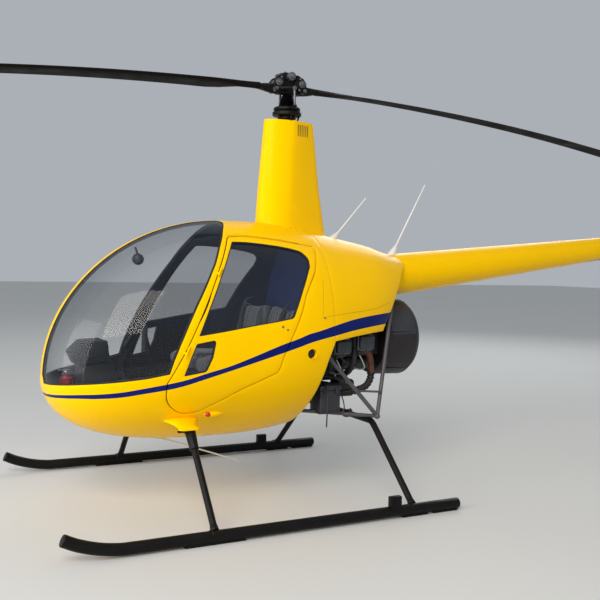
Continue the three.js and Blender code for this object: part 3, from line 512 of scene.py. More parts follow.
def extruded(name, ring, stations):
    """A filled circle whose ring is set by code, extruded from station to station."""
    first = stations[0]
    bpy.ops.mesh.primitive_circle_add(vertices=len(ring(first)), radius=0.01, fill_type="NGON")
    obj = added(name)
    for vertex, place in zip(obj.data.vertices, ring(first)):
        vertex.co = place
    edit_all()
    count = len(obj.data.vertices)
    for station in stations[1:]:
        bpy.ops.mesh.extrude_region_move()
        work = bmesh.from_edit_mesh(obj.data)
        work.verts.ensure_lookup_table()
        for vertex, place in zip(work.verts[-count:], ring(station)):
            vertex.co = place
        bmesh.update_edit_mesh(obj.data)
    bpy.ops.mesh.select_all(action="SELECT")
    bpy.ops.mesh.normals_make_consistent(inside=False)
    bpy.ops.object.mode_set(mode="OBJECT")
    return obj


def tube(name, points, width, sides=20, width_end=None, squash=1.0):
    """A round tube along a path of points."""
    path = [at(*p) for p in points]
    last = len(path) - 1
    tangents = [(path[min(i + 1, last)] - path[max(i - 1, 0)]).normalized() for i in range(last + 1)]
    frames = [tangents[0].to_track_quat("Z", "Y")]
    for before, after in zip(tangents, tangents[1:]):
        frames.append(before.rotation_difference(after) @ frames[-1])
    end = width if width_end is None else width_end
    widths = width if isinstance(width, list) else [width + (end - width) * i / last for i in range(last + 1)]

    def ring(i):
        radius = widths[i] / 2000
        return [path[i] + frames[i] @ Vector((
            radius * cos(a), squash * radius * sin(a), 0))
            for a in (2 * pi * k / sides for k in range(sides))]

    return extruded(name, ring, list(range(last + 1)))


def prism(name, outline, y, bevel=2, segments=2):
    """A side-view outline of x and z, as a slab between two values of y."""
    obj = extruded(name, lambda side: [at(p[0], side, p[1]) for p in outline], list(y))
    return softened(obj, bevel, 30, segments) if bevel else obj


def bolts(name, places, axis, width=12, height=7):
    """Hexagon bolt heads at places, standing along an axis."""
    axis = Vector(axis).normalized()
    head = rod(name, (0, 0, 0), axis * height, width, width * 0.96, sides=6, bevel=0.8)
    head.name = name
    return copies(head, [at(*place) - at(0, 0, 0) for place in places])


def between(rows, place):
    """The other columns of a table at a value of its first one."""
    rows = np.array(rows, float)
    return [np.interp(place, rows[:, 0], rows[:, k]) for k in range(1, rows.shape[1])]


def ball(name, radius, place=(0, 0, 0), segments=32, rings=16):
    """A sphere, its radius and place in scene metres."""
    bpy.ops.mesh.primitive_uv_sphere_add(segments=segments, ring_count=rings, radius=radius, location=place)
    obj = added(name)
    bpy.ops.object.transform_apply(location=True)
    return obj


def angles(count, start=0.0):
    """Angles evenly round a circle."""
    return np.linspace(start, 2 * pi + start, count + 1)[:-1]


def spun(name, profile, axis, centre=(0, 0, 0), steps=40):
    """A profile of radius and distance along an axis, spun round that axis through a centre."""
    out, along = {"X": ((0, 0, 1), (1, 0, 0)), "Y": ((1, 0, 0), (0, 1, 0)), "Z": ((1, 0, 0), (0, 0, 1))}[axis]
    bpy.ops.mesh.primitive_circle_add(vertices=len(profile), radius=0.01)
    obj = added(name)
    for vertex, (radius, far) in zip(obj.data.vertices, profile):
        vertex.co = at(*(c + radius * o + far * a for c, o, a in zip(centre, out, along)))
    edit_all()
    bpy.ops.mesh.spin(steps=steps, angle=2 * pi, center=at(*centre), axis=along)
    bpy.ops.object.mode_set(mode="OBJECT")
    return outward(obj)


# The fuselage skin: rounded sections whose halves meet at their widest height
NOSE_X, NOSE_Z, WIDEST_X = 1552, 795, 450
HALF, ROOF_Z, BELLY_Z, WIDEST_Z = 564, 1735, 380, 900
# Powers of the rounding of a section above and below its widest height
UPPER, LOWER = 2.05, 2.0
# Powers of the nose's outline: seen from above, along its top and along its belly
NOSE_PLAN, NOSE_TOP, NOSE_BELLY = (2.55, 2.3), (2, 1.93), (3.2, 2.3)
# Columns: x, half width, top, widest height, bottom
AFT_SECTIONS = np.array([
    (-900, 158, 1532, 1400, 1270), (-750, 262, 1562, 1280, 980), (-600, 352, 1604, 1180, 720),
    (-300, 468, 1660, 1040, 520), (-50, 538, 1709, 960, 440), (200, 561, 1734, 915, 396),
    (WIDEST_X, HALF, ROOF_Z, WIDEST_Z, BELLY_Z), (700, HALF, ROOF_Z, WIDEST_Z, BELLY_Z)], float)


def sections(x):
    """Half width, top, widest height and bottom at each x."""
    x = np.asarray(x, float)
    s = np.clip((x - WIDEST_X) / (NOSE_X - WIDEST_X), 0, 1)
    plan, top, belly = [(1 - s ** a) ** (1 / b) for a, b in (NOSE_PLAN, NOSE_TOP, NOSE_BELLY)]
    nose = np.stack([
        HALF * plan, NOSE_Z + (ROOF_Z - NOSE_Z) * top, NOSE_Z + (WIDEST_Z - NOSE_Z) * (1 - s ** 2),
        NOSE_Z - (NOSE_Z - BELLY_Z) * belly], -1)
    table = AFT_SECTIONS
    i = np.clip(np.searchsorted(table[:, 0], x, "right") - 1, 0, len(table) - 2)
    before = np.where(i > 0, i - 1, 1)
    after = np.minimum(i + 2, len(table) - 1)
    x0, x1 = table[i, 0], table[i + 1, 0]
    step = (x1 - x0) / 2
    w_before = np.where(i > 0, step / (x0 - table[before, 0] + (i == 0)), 0.5)
    w_after = step / (table[after, 0] - x1 + (after == i + 1))
    t = np.clip((x - x0) / (x1 - x0), 0, 1)
    weights = (
        w_before * (-t ** 3 + 2 * t ** 2 - t),
        (1 + w_before) * t ** 3 + (-1.5 - 2 * w_before) * t ** 2 + (w_before - 0.5) * t + 1,
        (-1 - w_after) * t ** 3 + (1.5 + w_after) * t ** 2 + 0.5 * t,
        w_after * (t ** 3 - t ** 2))
    rows = (before, i, i + 1, after)
    rear = sum(w[..., None] * table[row, 1:] for w, row in zip(weights, rows))
    return np.where((x < WIDEST_X)[..., None], rear, nose)


def measured(x, z):
    """At each x and height: half width, whether above the widest height, share of the rise, power."""
    half, top, mid, bottom = np.moveaxis(sections(x), -1, 0)
    upper = z >= mid
    rise = np.where(upper, (z - mid) / (top - mid + 1e-6), (mid - z) / (mid - bottom + 1e-6))
    return half, upper, rise, np.where(upper, UPPER, LOWER)


def skin_places(x, angle, inset=0.0):
    """Points of the skin at x and an angle round its section, moved in by an inset."""
    half, top, mid, bottom = np.moveaxis(sections(x), -1, 0)
    c, s = np.cos(angle), np.sin(angle)
    power = np.where(s >= 0, UPPER, LOWER)
    y = half * np.sign(c) * np.abs(c) ** (2 / power)
    z = mid + np.where(s >= 0, top - mid, mid - bottom) * np.sign(s) * np.abs(s) ** (2 / power)
    place = np.stack([x, y, z], -1)
    if np.any(inset):
        def outside(p):
            half, _, rise, power = measured(p[..., 0], p[..., 2])
            return np.abs(p[..., 1] / (half + 1e-6)) ** power + np.abs(rise) ** power

        slope = np.stack([outside(place + d) - outside(place - d) for d in np.eye(3) * 0.5], -1)
        slope /= np.linalg.norm(slope, axis=-1, keepdims=True) + 1e-12
        place = place - slope * np.asarray(inset)[..., None]
    return place


def skin_angle(x, z):
    """The angle round the port side of the section at x that lies at a height."""
    _, upper, rise, power = measured(x, z)
    return np.where(upper, 1, -1) * np.arcsin(np.clip(rise, 0, 1) ** (power / 2))


def skin_y(x, z):
    """Half the width of the fuselage at a height."""
    angle = skin_angle(np.array([x], float), np.array([z], float))
    return float(skin_places(np.array([x], float), angle)[0][1])


# The skin is laid out flat as u along the fuselage and v round it, both in millimetres
GIRTH = 500
NOSE_REACH = NOSE_X - WIDEST_X


def to_u(x):
    """Distance along the flat skin at each x."""
    x = np.asarray(x, float)
    ahead = np.clip((x - WIDEST_X) / NOSE_REACH, 0, 1)
    return np.where(x < WIDEST_X, x - WIDEST_X, NOSE_REACH * np.arcsin(ahead))


def from_u(u):
    """The x at each distance along the flat skin."""
    u = np.asarray(u, float)
    ahead = NOSE_REACH * np.sin(np.clip(u / NOSE_REACH, 0, pi / 2))
    return WIDEST_X + np.where(u < 0, u, ahead)


def rounded(outline, steps=6):
    """An outline of x, z and a corner radius, its corners cut back by arcs."""
    result = []
    for i, row in enumerate(outline):
        p = Vector(row[:2])
        radius = row[2] if len(row) > 2 else 0
        if not radius:
            result.append(p)
            continue
        before, after = Vector(outline[i - 1][:2]), Vector(outline[(i + 1) % len(outline)][:2])
        start, end = p + (before - p).normalized() * radius, p + (after - p).normalized() * radius
        for k in range(steps + 1):
            t = k / steps
            result.append(start * (1 - t) ** 2 + p * (2 * t * (1 - t)) + end * t ** 2)
    return result


def grown(outline, margin):
    """An outline moved out by a margin, or in where it is negative."""
    points = [Vector(p[:2]) for p in outline]
    count = len(points)
    area = sum(points[i - 1].x * points[i].y - points[i].x * points[i - 1].y for i in range(count))
    turn = 1 if area > 0 else -1
    result = []
    for i, p in enumerate(points):
        a, b = (p - points[i - 1]).normalized(), (points[(i + 1) % count] - p).normalized()
        normal = Vector((a.y + b.y, -a.x - b.x)).normalized() * turn
        stretch = 1 / max(0.35, normal.dot(Vector((a.y, -a.x)) * turn))
        result.append(p + normal * margin * stretch)
    return result


def dense(points, step=12, closed=True):
    """The same line with a point at least every step."""
    points = [Vector(p) for p in points]
    result = []
    pairs = zip(points, points[1:] + points[:1] if closed else points[1:])
    for a, b in pairs:
        count = max(1, ceil((b - a).length / step))
        result += [a.lerp(b, k / count) for k in range(count)]
    return result if closed else result + [points[-1]]


def spaced(loop):
    """A closed loop without the points that all but coincide."""
    return [p for p, q in zip(loop, loop[1:] + loop[:1]) if (p - q).length > 0.5]


def flat(p):
    """The place on the flat skin of a port point of the side view."""
    return Vector((float(to_u(p.x)), GIRTH * float(skin_angle(np.array([p.x]), np.array([p.y]))[0])))


def opposite(points):
    """The same places of the flat skin on the starboard side."""
    return [Vector((p.x, GIRTH * pi - p.y)) for p in points]


def on_skin(outline, side=1):
    """A side-view outline as u and v on the flat skin, port 1 or starboard -1."""
    xz = np.array([tuple(p) for p in dense(outline)])
    angle = skin_angle(xz[:, 0], xz[:, 1])
    v = GIRTH * (angle if side == 1 else pi - angle)
    return spaced([Vector(p) for p in zip(to_u(xz[:, 0]), v)])


def within(places, loops):
    """Which places on the flat skin lie inside the first loop and outside the others."""
    crossings = np.zeros(len(places), int)
    for loop in loops:
        a = np.array([tuple(p) for p in loop])
        b = np.roll(a, -1, 0)
        for (ax, ay), (bx, by) in zip(a, b):
            if ay != by:
                spans = (places[:, 1] < ay) != (places[:, 1] < by)
                crossings += spans & (places[:, 0] < ax + (places[:, 1] - ay) * (bx - ax) / (by - ay))
    return crossings % 2 == 1


# Distance of the rows of a panel's inner points, and their least distance from its rim, as shares of a cell
ROW_STEP, RIM_CLEAR = 0.866, 0.55


def panel(name, loops, thick, inset=0.0, cell=None, edge=None):
    """A shell piece of the skin: the first loop is its rim, the others are holes in it."""
    cell = cell or sizes().cell * 1000
    rim = [Vector(p) for loop in loops for p in loop]
    near = KDTree(len(rim))
    for i, p in enumerate(rim):
        near.insert((p.x, p.y, 0), i)
    near.balance()
    links, start = [], 0
    for loop in loops:
        links += [(start + i, start + (i + 1) % len(loop)) for i in range(len(loop))]
        start += len(loop)
    low = [min(p[k] for p in rim) for k in (0, 1)]
    high = [max(p[k] for p in rim) for k in (0, 1)]
    inner = []
    for row in range(ceil((high[1] - low[1]) / (cell * ROW_STEP))):
        v = low[1] + (row + 0.5) * cell * ROW_STEP
        for column in range(ceil((high[0] - low[0]) / cell)):
            p = Vector((low[0] + (column + 0.25 + 0.5 * (row % 2)) * cell, v))
            if near.find((p.x, p.y, 0))[2] > cell * RIM_CLEAR:
                inner.append(p)
    points, _, faces, _, _, _ = delaunay_2d_cdt(rim + inner, links, [], 0, 0.01)
    laid = np.array([tuple(p) for p in points])
    faces = np.array(faces)
    faces = faces[within(laid[faces].mean(1), loops)].tolist()
    places = skin_places(from_u(laid[:, 0]), laid[:, 1] / GIRTH, inset)
    mesh = bpy.data.meshes.new(name)
    mesh.from_pydata([at(*p) for p in places], [], [tuple(f) for f in faces])
    obj = bpy.data.objects.new(name, mesh)
    bpy.context.scene.collection.objects.link(obj)
    outward(obj)
    middle = at(300, 0, 1000)
    facing = sum(face.area * face.normal.dot(face.center - middle) for face in obj.data.polygons)
    if facing < 0:
        obj.data.flip_normals()
    apply(obj, "SOLIDIFY", thickness=thick / 1000, offset=-1)
    width = sizes().edge * 1000 if edge is None else edge
    return softened(obj, width, 50) if width else obj


# Side-view outlines; columns: x, z, corner radius
WINDSHIELD = [
    (483, 1720), (526, 1669), (593, 1558), (641, 1465), (679, 1402), (732, 1310), (785, 1219), (835, 1122),
    (888, 1008), (925, 919), (950, 842, 10), (1074, 817), (1240, 795), (1395, 778), (1490, 765), (1529, 758),
    (1548, 755)]
DOOR = [
    (520, 1622, 14), (443, 1629), (373, 1627), (269, 1619), (161, 1607), (51, 1592),
    (-58, 1577, 18), (-40, 1523), (-26, 1480), (2, 1420), (48, 1355), (92, 1285), (124, 1200), (160, 1125),
    (216, 1018), (266, 917), (282, 868, 16), (298, 833, 14), (403, 789), (495, 751), (563, 717), (623, 684),
    (700, 646), (756, 613, 24), (865, 599, 60), (958, 684, 50), (957, 790), (856, 972), (630, 1421)]
DOOR_WINDOW = [
    (506, 1596, 10), (415, 1596), (319, 1589), (213, 1578), (135, 1566), (60, 1549, 20), (18, 1505, 24),
    (26, 1455), (50, 1415), (107, 1311), (188, 1147, 18), (303, 1127), (464, 1104), (627, 1077),
    (786, 1053, 8), (715, 1211), (629, 1383), (552, 1522)]
LOWER_WINDOW = [(800, 1010, 8), (684, 1031, 24), (706, 931), (743, 852, 14), (871, 830, 10), (832, 934)]
COWL_EDGE = [
    (-899.5, 1507), (-869, 1481), (-783, 1393), (-733, 1325), (-662, 1214), (-620, 1148), (-577, 1083),
    (-560, 1044), (-445, 1038), (-283, 1024), (-110.6, 1002)]
# Middle of the round vent, x and z, and the width of its hole
VENT, VENT_BORE = (67, 932), 62
# Half the centre post's width, step of the door's rebate, seam between cabin and cowl
POST_HALF, DOOR_STEP, SEAM_X = 24, 7, -110
CABIN_REAR = [(SEAM_X, 1700), (SEAM_X, 1002), (-60, 886), (-21, 742), (30, 540), (42, 470), (50, 426)]


def circle(centre, radius, count=28):
    """A round side-view outline."""
    return [Vector((centre[0] + radius * cos(a),
        centre[1] + radius * sin(a))) for a in angles(count)]


def windshield_loop(side=1, margin=0.0):
    """The rim of one windshield pane on the flat skin, grown or shrunk by a margin."""
    inner_y = POST_HALF - margin
    loop = [flat(p) for p in dense([p[:2] for p in WINDSHIELD], closed=False)]
    if margin:
        loop = grown([(p.x, p.y) for p in loop] + [(1731, 0), (100, 700)], margin)[:len(loop)]
    # The centre post's edge runs along the skin at a constant distance from the middle
    end_x = float(from_u(loop[-1].x))
    top_x = float(from_u(loop[0].x))
    nose_x = WIDEST_X + NOSE_REACH * (1 - (inner_y / HALF) ** NOSE_PLAN[1]) ** (1 / NOSE_PLAN[0]) - 0.05
    post = []
    for t in np.linspace(0, 1, 70):
        u_here = float(to_u(top_x)) * (1 - t) + float(to_u(nose_x)) * t
        x = float(from_u(u_here))
        wide = float(sections(x)[0])
        post.append(Vector((u_here, GIRTH * acos(min(1.0, inner_y / wide) ** (UPPER / 2)))))
    tail = []
    for t in np.linspace(0, 1, 12)[1:]:
        x = nose_x * (1 - t) + end_x * t
        wide = float(sections(x)[0])
        angle = -acos(min(1.0, inner_y / wide) ** (LOWER / 2))
        if angle <= loop[-1].y / GIRTH:
            break
        tail.append(Vector((float(to_u(x)), GIRTH * angle)))
    loop = spaced(loop + list(reversed(post + tail)))
    return loop if side == 1 else opposite(loop)


def cabin_loops(door_gap, post_margin, vent_radius):
    """Rim and holes of the cabin on the flat skin."""
    side = [flat(p) for p in [Vector((SEAM_X, 1702.0))] + dense(CABIN_REAR, closed=False)[1:]]
    belly_u = side[-1].x
    side.append(Vector((belly_u, -GIRTH * pi / 2)))
    top_v = GIRTH * pi / 2
    roof = [Vector((float(to_u(SEAM_X)), v)) for v in np.linspace(top_v, side[0].y, 14)[:-1]]
    port = roof + side
    nose_u = NOSE_REACH * pi / 2
    nose = [Vector((nose_u, v)) for v in np.linspace(-top_v, 3 * top_v, 40)]
    belly = [Vector((u, -top_v)) for u in np.linspace(belly_u, nose_u, 60)[1:-1]]
    belly_far = [Vector((u, 3 * top_v)) for u in np.linspace(nose_u, belly_u, 60)[1:-1]]
    door = grown(rounded(DOOR), door_gap)
    holes = [on_skin(door, side) for side in (1, -1)]
    holes += [windshield_loop(side, post_margin) for side in (1, -1)]
    holes += [on_skin(circle(VENT, vent_radius), side) for side in (1, -1)]
    return [spaced(port + belly + nose + belly_far + opposite(port[::-1]))] + holes


# Operators: each builds one piece or one group of like pieces

class HELI_OT_cabin(bpy.types.Operator):
    """Cabin shell with its openings, and the cloth lining inside it"""
    bl_idname = "heli.cabin"
    bl_label = "Cabin shell"

    def execute(self, context):
        s = sizes()
        gap = s.gap * 1000
        shell = panel("cabin_shell_skin", cabin_loops(gap, 1, VENT_BORE / 2), s.shell * 1000)
        done(shell, "enamel", nodes=["cabin_shell"], angle=40)
        lining = panel("cabin_lining", cabin_loops(gap + 1, 2, VENT_BORE / 2 + 1), 2, inset=20.5,
            cell=40, edge=0)
        done(lining, "lining")
        # Flange behind the gap that the door shuts against
        flange = panel("door_flange_left", [on_skin(grown(rounded(DOOR), 14)),
            on_skin(grown(rounded(DOOR), -20))],
                       3, inset=25.5, edge=0)
        pair(flange, "rubber")
        return {"FINISHED"}


# Middle and half height of the part of a door's front edge that is drawn back, and how far
RELIEF_Z, RELIEF_HALF, RELIEF = 1212, 85, 6


def relieved(outline):
    """A door outline whose front edge is drawn back between the hinges, to swing clear of the post."""
    result = []
    for p in dense(outline):
        share = max(0.0, 1 - ((p.y - RELIEF_Z) / RELIEF_HALF) ** 2) if p.x > 600 else 0.0
        result.append(Vector((p.x - RELIEF * share, p.y)))
    return result


class HELI_OT_doors(bpy.types.Operator):
    """Doors with their lining and rubber-set windows"""
    bl_idname = "heli.doors"
    bl_label = "Doors"

    def execute(self, context):
        s = sizes()
        window, lower = rounded(DOOR_WINDOW), rounded(LOWER_WINDOW)
        thick = s.shell * 1000
        outer, inner = relieved(rounded(DOOR)), relieved(grown(rounded(DOOR), -DOOR_STEP))
        leaf = joined("door_left_leaf", [
            panel("door_outer", [on_skin(p) for p in (outer, window, lower)], thick / 2),
            panel("door_inner", [on_skin(p) for p in (inner, window, lower)], thick / 2,
                inset=thick / 2 - 0.5)])
        pair(leaf, "enamel", "left_door", ["door_left"])
        cloth = [grown(rounded(DOOR), -DOOR_STEP - 1), grown(window, 1), grown(lower, 1)]
        lining = panel("door_left_lining", [on_skin(p) for p in cloth], 2, inset=20.5, cell=40, edge=0)
        pair(lining, "lining", "left_door")
        width = s.gasket * 1000
        for label, outline in (("window", window), ("lower_window", lower)):
            pane = panel(f"door_left_{label}", [on_skin(grown(outline, -0.3))], 3, inset=7, edge=0)
            pair(pane, "side_glass", "left_door", [f"door_{label}_left"])
            seal = panel(
                f"door_left_{label}_seal", [on_skin(grown(outline, 0.6)), on_skin(grown(outline, -width))],
                thick + 4, inset=-1.0, edge=1.2)
            pair(seal, "rubber", "left_door")
        return {"FINISHED"}


class HELI_OT_windshield(bpy.types.Operator):
    """Windshield panes with their seals"""
    bl_idname = "heli.windshield"
    bl_label = "Windshield"

    def execute(self, context):
        pane = panel("windshield_left_pane", [windshield_loop(1, -0.5)], 4, inset=4, edge=0)
        seal = panel("windshield_left_seal", [windshield_loop(1, 0), windshield_loop(1, -9)], 21,
            inset=1.5, edge=0)
        pair(pane, "glass", nodes=["windshield_left"])
        pair(seal, "rubber")
        return {"FINISHED"}


class HELI_OT_cowl(bpy.types.Operator):
    """Engine cowl behind the cabin"""
    bl_idname = "heli.cowl"
    bl_label = "Engine cowl"

    def execute(self, context):
        top_v = GIRTH * pi / 2
        seam_u = float(to_u(SEAM_X - 0.6))
        side = [flat(p) for p in dense(COWL_EDGE, closed=False)]
        rear = [Vector((float(to_u(-899.5)), v)) for v in np.linspace(top_v, side[0].y, 10)[:-1]]
        port = rear + side
        front = [Vector((seam_u, v)) for v in np.linspace(side[-1].y, top_v, 60)[1:-1]]
        rim = port + front + [Vector((seam_u, top_v))] + opposite(port + front)[::-1][:-1]
        cowl = panel("aft_cowl_skin", [spaced(rim)], sizes().cowl_shell * 1000)
        done(cowl, "enamel", nodes=["aft_cowl"], angle=40)
        return {"FINISHED"}


class HELI_OT_fairing(bpy.types.Operator):
    """Mast fairing with its vent slots, open at the top"""
    bl_idname = "heli.fairing"
    bl_label = "Mast fairing"

    def execute(self, context):
        # Columns: z, front x, widest x, half width, rear x, half width at the rear
        rows = ((1640, 212, 40, 118, -284, 34), (1970, 194, 10, 96, -229, 24), (2400, 160, -20, 74, -176, 16))

        def ring(z):
            front, widest, half, rear, rear_half = between(rows, z)
            flare = 16 * max(0.0, 1 - (z - 1640) / 130) ** 2
            side = []
            for a in np.linspace(0, pi / 2, 15):
                side.append((widest + (front + flare - widest) * cos(a), (half + flare) * sin(a)))
            for t in np.linspace(0, 1, 9)[1:]:
                side.append((widest + (rear - widest) * t, half + flare + (rear_half - half) * (t ** 1.25)))
            side += [(rear - 10, rear_half * 0.72), (rear - 15, rear_half * 0.35)]
            other = [(x, -y) for x, y in side[1:][::-1]]
            return [at(x, y, z) for x, y in side + [(rear - 16, 0)] + other]

        fairing = extruded("mast_fairing_skin", ring, list(np.linspace(1640, 2400, 25)))
        select_only(fairing)
        bpy.ops.object.mode_set(mode="EDIT")
        bpy.ops.mesh.select_all(action="DESELECT")
        work = bmesh.from_edit_mesh(fairing.data)
        for face in work.faces:
            face.select = face.calc_center_median().z > 2.3995
        bmesh.update_edit_mesh(fairing.data)
        bpy.ops.mesh.inset(thickness=0.006)
        bpy.ops.mesh.extrude_region_move(TRANSFORM_OT_translate={"value": (0, 0, -0.11)})
        bpy.ops.object.mode_set(mode="OBJECT")
        cutters, shade_blocks = [], []
        for k in range(6):
            x = -52 - 17 * k
            y = 74 - 58 * ((-20 - x) / 156) ** 1.25
            for side in (1, -1):
                middle = side * (y + 1)
                cutters.append(box("slot", (x - 3.5, x + 3.5), (middle - 15, middle + 15),
                    (2302, 2378), 2, 2))
                # A dark block just inside each slot: painted shade, so that the slot reads dark although the
                # fairing's inside is lit
                middle -= side * 6.5
                shade_blocks.append(box("slot_shade", (x - 3.3, x + 3.3), (middle - 7, middle + 7), (2303, 2377), 0))
        cutter = joined("slots", cutters)
        apply(fairing, "BOOLEAN", operation="DIFFERENCE", solver="EXACT", object=cutter)
        bpy.data.objects.remove(cutter)
        # The blocks of painted shade behind the slots, in the dark rubber finish
        done(joined("fairing_slot_shades", shade_blocks), "rubber")
        done(fairing, "enamel_plain", nodes=["mast_fairing"], angle=32)
        return {"FINISHED"}


class HELI_OT_mast(bpy.types.Operator):
    """Mast tube and the fixed half of the swashplate"""
    bl_idname = "heli.mast"
    bl_label = "Mast"

    def execute(self, context):
        tube_piece = spun("mast_tube_piece", [
            (34, 2300), (42, 2300), (42, 2412), (60, 2416), (60, 2424), (46, 2428), (46, 2432),
            (90, 2434), (95, 2438), (95, 2456), (90, 2460), (34, 2460)], "Z")
        links = [
            rod("servo_link", (60 * cos(a), 60 * sin(a), 2370),
                (80 * cos(a), 80 * sin(a), 2436), 12)
            for a in (0.4, 1.5, 2.6, 4.4)]
        heads = bolts("swash_bolts", [
            (84 * cos(a), 84 * sin(a), 2459) for a in angles(8)], (0, 0, 1), 11, 5)
        done(joined("mast_lower_swashplate", [tube_piece] + links + [heads]), "gear", nodes=["mast_tube"])
        return {"FINISHED"}


class HELI_OT_rotor_head(bpy.types.Operator):
    """Turning swashplate, boot, pitch links, hub, hinge bolts and blade grips"""
    bl_idname = "heli.rotor_head"
    bl_label = "Rotor head"

    def execute(self, context):
        black, steel = [], []
        plate = [(26, 2467), (84, 2467), (88, 2471), (88, 2484), (82, 2489), (60, 2492), (54, 2498),
                 (26, 2498)]
        black.append(spun("upper_swashplate", plate, "Z"))
        pleats = [(27, 2496)]
        for k in range(7):
            pleats += [(57 - 2.6 * k, 2501 + 10 * k), (45 - 2.2 * k, 2506 + 10 * k)]
        black.append(spun("shaft_boot", pleats + [(27, 2572)], "Z"))
        black.append(box("hub_block", (-54, 54), (-42, 42), (2606, 2700), 9))
        black.append(box("hub_yoke", (-84, 84), (-34, 34), (2572, 2628), 12))
        black.append(box("hub_cap", (-40, 40), (-32, 32), (2694, 2712), 5))
        black.append(rod("swash_arm", (0, -124, 2479), (0, 124, 2479), 24))
        for side in (1, -1):
            for y in (-44, 44):
                outline = [(side * x, z) for x, z in (
                    (26, 2636), (70, 2584), (104, 2580), (116, 2604), (112, 2650), (92, 2676), (48, 2698))]
                black.append(prism("hub_ear", outline, (y - 10, y + 10), 3))
            grip = extruded("blade_grip", lambda i: [
                at(side * (70 + 19 * i), cos(a) * (32, 34, 34, 32, 31, 33, 39, 40)[i],
                   2603 + 1.1 * i + sin(a) * (28, 31, 31, 30, 28, 25, 21, 18)[i])
                for a in angles(24)], list(range(8)))
            black.append(grip)
            for z, y, width in ((2641, 66, 34), (2600, 58, 24)):
                x = side * (82 if z > 2620 else 98)
                steel.append(rod("hinge_bolt", (x, -y, z), (x, y, z), width))
                steel.append(rod("hinge_washer", (x, -y + 6, z), (x, y - 6, z), width + 14))
                steel.append(bolts("hinge_nut", [(x, y, z)], (0, 1, 0), width - 4, 11))
                steel.append(bolts("hinge_head", [(x, -y, z)], (0, -1, 0), width - 4, 10))
            foot, top = (side * -8, side * 106, 2484), (side * -6, side * 100, 2602)
            black.append(rod("pitch_horn", (side * 112, side * 30, 2604),
                (side * -8, side * 100, 2604), 26, 20))
            steel.append(rod("pitch_link", foot, top, 15))
            for place in (foot, top):
                steel.append(rod("rod_end", (place[0], place[1] - 9, place[2]),
                    (place[0], place[1] + 9, place[2]), 28))
            steel.append(rod("droop_stop", (side * 44, 0, 2704), (side * 84, 0, 2686), 18))
            steel.append(bolts("ear_bolts", [(side * 60, 55, 2600), (side * 66, 55, 2672)], (0, 1, 0), 18, 8))
        steel.append(rod("teeter_bolt", (0, -88, 2682), (0, 84, 2682), 38))
        steel.append(rod("teeter_washer", (0, -76, 2682), (0, 76, 2682), 54))
        steel.append(bolts("teeter_nut", [(0, 84, 2682)], (0, 1, 0), 34, 12))
        steel.append(bolts("cap_bolts", [(x, y, 2711) for x in (-28, 28) for y in (-20, 20)],
            (0, 0, 1), 14, 8))
        steel.append(rod("mast_shaft", (0, 0, 2415), (0, 0, 2600), 50, bevel=0))
        head = turned(joined("rotor_head_castings", black), ROTOR_TURN, "Z")
        fittings = turned(joined("rotor_head_fittings", steel), ROTOR_TURN, "Z")
        done(head, "gear", "main_rotor", ["rotor_head"])
        done(fittings, "steel_dull", "main_rotor")
        return {"FINISHED"}


# A symmetrical aerofoil; columns: share of the chord from the nose, share of the half thickness
AEROFOIL = [
    (0, 0), (0.005, 0.24), (0.02, 0.46), (0.05, 0.68), (0.1, 0.86), (0.18, 0.97), (0.3, 1.0), (0.45, 0.9),
    (0.6, 0.7), (0.75, 0.46), (0.88, 0.24), (0.97, 0.1), (1, 0.04)]


def aerofoil(chord, thick):
    """Points ahead of the quarter chord and above it, round the section."""
    upper = [((0.25 - c) * chord, t * thick / 2) for c, t in AEROFOIL]
    return upper + [(x, -z) for x, z in upper[:0:-1]]


class HELI_OT_blades(bpy.types.Operator):
    """Main rotor blades, drooping as they hang at rest"""
    bl_idname = "heli.blades"
    bl_label = "Main blades"

    def execute(self, context):
        # Columns: distance from the mast, chord, thickness, twist in degrees
        rows = (
            (196, 62, 44, 8), (250, 66, 40, 8), (330, 84, 36, 8), (430, 150, 30, 7.6), (520, 183, 26, 7),
            (700, 183, 24, 6.6), (1150, 183, 24, 5.5), (1900, 183, 23, 4), (2700, 183, 22, 2.5),
            (3300, 183, 22, 1), (3790, 183, 22, 0), (3815, 176, 19, 0), (3830, 150, 12, 0))
        stations = [196, 220, 250, 290, 330, 380, 430, 475, 520, 600, *np.arange(700, 3790, 105),
                    3790, 3815, 3830]
        for name, side in (("main_blade_fore", 1), ("main_blade_aft", -1)):
            def ring(radius):
                chord, thick, twist = between(rows, radius)
                pitch = radians(twist)
                height = 2613 - 0.0267e-3 * radius ** 2 + side * 0.0127 * radius
                return [at(
                    side * radius, side * (ahead * cos(pitch) - up * sin(pitch)),
                    height + ahead * sin(pitch) + up * cos(pitch)) for ahead,
                        up in aerofoil(chord, thick)]
            blade = turned(extruded(f"{name}_skin", ring, stations), ROTOR_TURN, "Z")
            done(blade, "blade", "main_rotor", [name], angle=50)
        return {"FINISHED"}


# The tail cone from its front end aft: place, height and radius there, and rise and taper per mm
TAIL_X, TAIL_Z, TAIL_RADIUS, TAIL_RISE, TAIL_TAPER = -940, 1417, 144, 0.117, 0.0282


def tail_z(x):
    """Height of the tail cone's middle."""
    return TAIL_Z + (TAIL_X - x) * TAIL_RISE


def tail_radius(x):
    """Radius of the tail cone."""
    return TAIL_RADIUS - max(0, TAIL_X - x) * TAIL_TAPER


